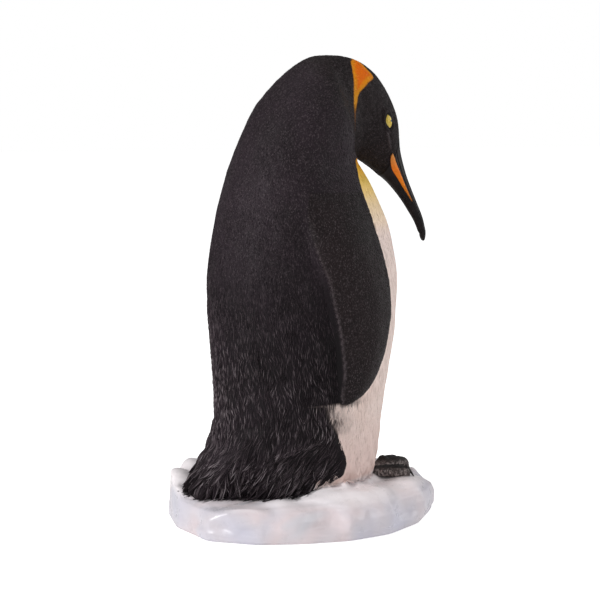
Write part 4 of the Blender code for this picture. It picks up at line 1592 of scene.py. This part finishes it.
# How high each point lies on the toe that it belongs to: 0 on the ice, 1 on the toe's back. A point that is
# higher than a toe's back counts as further away from it.
def toeCrown(side, spots):
    crown, nearest = np.zeros(len(spots)), np.full(len(spots), math.inf)
    high = spots[:, 2] - foot["floor"]
    for toe in range(3):
        start, _, across = toeStart(side, toe)
        top = start[2] + foot["arches"][toe] + foot["radii"][toe] - foot["floor"]
        away = np.abs((spots - start) @ across) + 6 * np.clip(high - top, 0, None)
        crown = np.where(away < nearest, high / top, crown)
        nearest = np.minimum(nearest, away)
    return crown


# Three toes and an instep, melted into one closed mesh, then wrinkled across and scaled all over.
def buildFoot(side, finish):
    start, direction, _ = toeStart(side, 1)
    share, arch = foot["instep"]
    grids = [toeGrid(start, direction, foot["toes"][1] * share, foot["radii"][1], arch, 0.0, 0.0)]
    for toe in range(3):
        start, direction, _ = toeStart(side, toe)
        length, radius, arch, hump = (foot[label][toe] for label in ("toes", "radii", "arches", "humps"))
        grids.append(toeGrid(start, direction, length, radius, arch, foot["swelling"], hump))
    spots, outward, faces = meltTogether(grids)
    ridges = wobble(spots * (1, 0.2, 0.5), 0.0042, 31, 14)
    pebbles = wobble(spots, 0.0040, 32, 14)
    relief = foot["wrinkle"] * np.abs(ridges) + foot["pebble"] * pebbles - foot["wrinkle"]
    spots = spots + outward * relief[:, None]
    spots[:, 2] = np.maximum(spots[:, 2], foot["floor"])
    word = sideWord(side)
    fields = {"crown": toeCrown(side, spots)}
    makePiece(f"toes_{word}", spots, faces, finish, (f"foot_{word}",), fields)


# A short hooked claw: a round bar that leaves its toe's end, bends down to the ice by a power of the way
# and narrows to a blunt tip.
def buildClaw(side, toe, finish):
    rows, columns = foot["clawGrid"]
    start, direction, across = toeStart(side, toe)
    end = start + direction * foot["toes"][toe]
    share = np.linspace(0, 1, rows)[:, None]
    around = np.arange(columns) * fullTurn / columns
    drop = foot["radii"][toe] * (0.62 - 1.75 * share**1.7) + 0.70 * foot["arches"][toe]
    centre = end + direction * (foot["claws"][toe] * share[..., None] - 0.009) + upward * drop[..., None]
    size = foot["clawThick"] * (1 - 0.50 * share) * np.sqrt(np.clip(1.0 - share**5, 0.004, 1))
    grid = barGrid(centre, across, np.cos(around) * size * 0.85, np.sin(around) * size)
    word = f"{sideWord(side)}_{toe + 1}"
    faces = tubeFaces(rows, columns)
    makePiece(f"nail_{word}", withEnds(grid), faces, finish, (f"claw_{word}",))


# Dark on top, with light hair strokes low on the flanks, where they run down onto the ice.
def footFinish():
    finish = Finish("foot_skin", Roughness=0.5, Specular_IOR_Level=0.35)
    strokes = finish.noise(420, 3, 0.7, 0.6, vector=finish.scaled(finish.place, (1, 0.45, 0.22)))
    low = finish.range(finish.field("crown"), 0.96, 0.66)
    light = finish.times(finish.range(strokes, 0.46, 0.62), finish.range(low, 0.0, 1.0, 0.15, 0.85, False))
    under, over = (finish.blend(low, *foot[label]) for label in ("skinColours", "strokeColours"))
    colour = finish.blend(light, under, over)
    return finish.set(Base_Color=colour, Normal=finish.bump(strokes, 0.7, 0.0018))


footPaint = footFinish()
for side in (-1, 1):
    buildFoot(side, footPaint)
    for toe in range(3):
        buildClaw(side, toe, hornPaint)
print("feet built")


ice = {
    # reach of the slab's corners, from the front round by the right side
    "corners": (0.256, 0.2465, 0.228, 0.214, 0.203, 0.201, 0.221, 0.250,
                0.248, 0.250, 0.224, 0.200, 0.190, 0.202, 0.222, 0.246),
    # level; share of the full reach
    "side": [
        (0.0000, 0.000), (0.0000, 0.500), (0.0000, 0.960), (0.0010, 0.982), (0.0060, 0.993),
        (0.0160, 1.000), (0.0380, 1.002), (0.0520, 0.975), (0.0600, 0.925), (0.0650, 0.860),
        (0.0685, 0.800), (0.0700, 0.740), (0.0700, 0.400), (0.0700, 0.000),
    ],
    "rings": (6, 14, 3, 5, 10, 18, 16, 14, 12, 10, 12, 30, 26),  # how many between each pair of those
    "eased": 40,  # the ring from which the profile is rounded
    # x, y, height and radius of the lumps behind the tail and the swells on the rim
    "lumps": [
        (0.080, 0.222, 0.017, 0.040),
        (0.112, 0.216, 0.008, 0.050),
        (0.128, 0.174, 0.026, 0.036),
        (0.030, 0.245, 0.010, 0.024),
        (-0.020, -0.242, 0.010, 0.030),
        (0.160, -0.070, 0.008, 0.030),
        (-0.125, 0.180, 0.004, 0.050),
    ],
    "columns": 420,
    "scoop": 0.017,  # depth of the hollows in the side
    "chip": 0.0050,  # and of those on the top
    "bulge": 0.003,  # how far the side may stand out beyond its outline
    "blunt": (0.42, 0.91),  # the way in which its rim stands up squarest
    # how many hewn hollows there are, and how wide: in the side, and on the top
    "hollows": (130, 0.060),
    "chips": (150, 0.050),
    "spread": 0.27,  # how far their centres are scattered
    # share of a broad noise; colour of the wash there
    "wash": [
        (0.30, (204, 202, 215)),
        (0.46, (214, 208, 215)),
        (0.58, (220, 207, 210)),
        (0.72, (204, 210, 219)),
    ],
    # painted light on the top: its colour, and the levels between which it comes in
    "topLightColour": (250, 243, 245),
    "topLightFrom": (0.050, 0.072),
}


# Hewn hollows: the least of many upward bowls round scattered centres, so that they meet in soft ridges.
def hewn(spots, centres, size, softness=9.0):
    gap = np.linalg.norm(spots[..., None, :] - centres, axis=-1) / size
    bowls = np.clip(gap, 0, 1.6) ** 2
    return -np.log(np.exp(-softness * bowls).sum(axis=-1) + 1e-9) / softness


# The slab's outline: straight runs between the corners, centred, with the corners rounded off.
def iceOutline():
    corners = np.array(ice["corners"])
    count = len(corners)
    turns = np.arange(count) * fullTurn / count
    spots = np.stack([-np.sin(turns), -np.cos(turns)], axis=1) * corners[:, None]
    share = np.arange(ice["columns"]) / ice["columns"] * count + 0.5
    low, part = share.astype(int) % count, (share % 1)[:, None]
    outline = spots[low] * (1 - part) + spots[(low + 1) % count] * part
    outline -= (outline.max(axis=0) + outline.min(axis=0)) / 2
    for _ in range(10):
        outline = (np.roll(outline, 1, axis=0) + outline * 2 + np.roll(outline, -1, axis=0)) / 4
    return outline


# Level and share of the full reach of each ring, from the middle of the underside to that of the top.
def iceProfile():
    side, first = ice["side"], ice["eased"]
    places = np.concatenate([np.linspace(k, k + 1, n, endpoint=False) for k, n in enumerate(ice["rings"])])
    profile = np.array([np.interp(places, np.arange(len(side)), [row[k] for row in side]) for k in (0, 1)])
    for _ in range(8):
        after = np.roll(profile, -1, axis=1)[:, first:]
        profile[:, first:] = (profile[:, first - 1 : -1] + 2 * profile[:, first:] + after) / 4
        profile[:, -1] = (side[-1][0], 0.0)
    return profile[0][1:], profile[1][1:]


# The slab: a side profile carried round an outline with straight runs between corners. The hollows are cut
# into its side, and lumps and shallower hollows stand on its top.
def buildIce(finish):
    outline = iceOutline()
    level, reach = (numbers[:, None] for numbers in iceProfile())
    grid = np.zeros((len(level), len(outline), 3))
    square = smoothStep(0.78, 0.97, unit(outline) @ np.array(ice["blunt"]))
    fuller = 1 - (1 - reach) * (1 - 0.92 * square * smoothStep(0.60, 0.86, reach))
    grid[..., :2] = outline * fuller[..., None]
    grid[..., 2] = level
    rng = np.random.default_rng(41)
    spread = ice["spread"]
    count, size = ice["hollows"]
    centres = rng.uniform((-spread, -spread, 0.0), (spread, spread, 0.08), (count, 3))
    bowls = hewn(grid, centres, size)
    onWall = smoothStep(0.012, 0.028, grid[..., 2]) * smoothStep(0.70, 0.90, reach)
    wave = wobble(grid * (1, 1, 0.6), 0.09, seed=42)
    push = onWall * (1 - 0.7 * square) * (ice["scoop"] * (bowls - 0.62) + 0.0016 * wave)
    grid[..., :2] += unit(outline) * np.minimum(push, ice["bulge"])[..., None]
    x, y = grid[..., 0], grid[..., 1]
    lumps = np.zeros(x.shape)
    for across, along, height, radius in ice["lumps"]:
        away = np.hypot(x - across, y - along) / radius
        lumps += height * np.clip(1 - away**2, 0, None) * smoothStep(0.40, 0.75, reach)
    count, size = ice["chips"]
    chips = hewn(grid * (1, 1, 0), rng.uniform(-spread, spread, (count, 3)) * (1, 1, 0), size)
    beyond = smoothStep(0.50, 0.66, reach) * smoothStep(0.052, 0.068, level)
    swells = smoothStep(0.045, 0.070, level) * (iceLevel(x, y) - ground["level"])
    grid[..., 2] += swells
    grid[..., 2] += smoothStep(0.05, 0.06, level) * lumps
    grid[..., 2] += beyond * (ice["chip"] * (chips - 0.55) + 0.0012 * wave)
    faces = tubeFaces(*grid.shape[:2])
    makePiece("ice_block", withEnds(grid), faces, finish, ("ice_slab",))


# Glossy paint in a lavender and pink wash, with painted light that makes its top whiter than its sides.
def iceFinish():
    finish = Finish("painted_ice", Specular_IOR_Level=0.35, Coat_Weight=0.2, Coat_Roughness=0.12)
    colour = finish.ramp(finish.noise(9, 2, 0.4, 0.6), ice["wash"])
    litTop = finish.range(finish.axis("Z"), *ice["topLightFrom"])
    colour = finish.blend(finish.times(litTop, 0.9), colour, ice["topLightColour"])
    rough = finish.range(finish.noise(45, 3), 0.3, 0.7, 0.22, 0.40, False)
    normal = finish.bump(finish.noise(19, 2, 0.4), 0.60, 0.016)
    normal = finish.bump(finish.noise(420, 2), 0.08, 0.0008, normal)
    return finish.set(Base_Color=colour, Roughness=rough, Normal=normal)


buildIce(iceFinish())
print("ice built")


studio = {
    "sky": 0.23,
    "backdrop": 1.0,
    # place, aim, size, power
    "lamps": {
        "key": ((-0.8, 3.2, 1.7), (0, 0, 0.45), 0.8, 84),
        "fill": ((-3.2, -1.6, 1.5), (0, 0, 0.4), 1.6, 22),
        "top": ((0.0, 0.2, 3.2), (0, 0, 0.3), 2.0, 18),
        "front": ((-0.5, -3.1, 1.4), (0, 0, 0.4), 2.2, 31),
    },
}


# Soft studio light. The sky is white behind the statue and dimmer where it only lights it.
def placeLights():
    world = bpy.data.worlds.new("studio")
    world.use_nodes = True
    bpy.context.scene.world = world
    nodes, links = world.node_tree.nodes, world.node_tree.links
    rays = nodes.new("ShaderNodeLightPath")
    strength = nodes.new("ShaderNodeMapRange")
    strength.inputs["To Min"].default_value = studio["sky"]
    strength.inputs["To Max"].default_value = studio["backdrop"]
    links.new(rays.outputs["Is Camera Ray"], strength.inputs["Value"])
    nodes["Background"].inputs["Color"].default_value = (1, 1, 1, 1)
    links.new(strength.outputs[0], nodes["Background"].inputs["Strength"])
    for name, (place, aim, size, power) in studio["lamps"].items():
        lamp = bpy.data.lights.new(name, "AREA")
        lamp.size = size
        lamp.energy = power
        light = bpy.data.objects.new(name, lamp)
        light.location = place
        light.rotation_euler = (Vector(aim) - Vector(place)).to_track_quat("-Z", "Y").to_euler()
        bpy.context.scene.collection.objects.link(light)


placeLights()

floor = {
    "reach": 30.0,
    "below": 0.0004,
    "shade": (0.90, 0.93),
    "glow": (0.66, 0.90),
    "fade": (0.4, 3.0),  # how far away the first glow ends and the second starts
    "unseen": 0.15,  # share of the glow that lights the statue
}


# A wide sheet of white paper. It has a glow of its own, though it is no lamp, which paints out the shadows
# on it, and more so far away, where it meets the sky.
def buildFloor():
    finish = Finish("floor_paper", Roughness=0.9, Specular_IOR_Level=0.1, Emission_Color=(1, 1, 1, 1))
    shade = finish.range(finish.noise(0.8, 2), 0.4, 0.6, *floor["shade"], False)
    away = finish.nodes.new("ShaderNodeVectorMath")
    away.operation = "LENGTH"
    finish.feed(away.inputs[0], finish.place)
    glow = finish.range(away.outputs["Value"], *floor["fade"], *floor["glow"])
    seen = finish.nodes.new("ShaderNodeLightPath").outputs["Is Camera Ray"]
    glow = finish.times(glow, finish.range(seen, 0.0, 1.0, floor["unseen"], 1.0, False))
    mesh = bpy.data.meshes.new("floor")
    far, level = floor["reach"], -floor["below"]
    corners = [(-far, -far, level), (far, -far, level), (far, far, level), (-far, far, level)]
    mesh.from_pydata(corners, [], [(0, 1, 2, 3)])
    mesh.materials.append(finish.set(Base_Color=shade, Emission_Strength=glow))
    sheet = bpy.data.objects.new("floor", mesh)
    bpy.context.scene.collection.objects.link(sheet)


buildFloor()
bpy.context.scene.view_settings.view_transform = "Standard"
print("studio set")
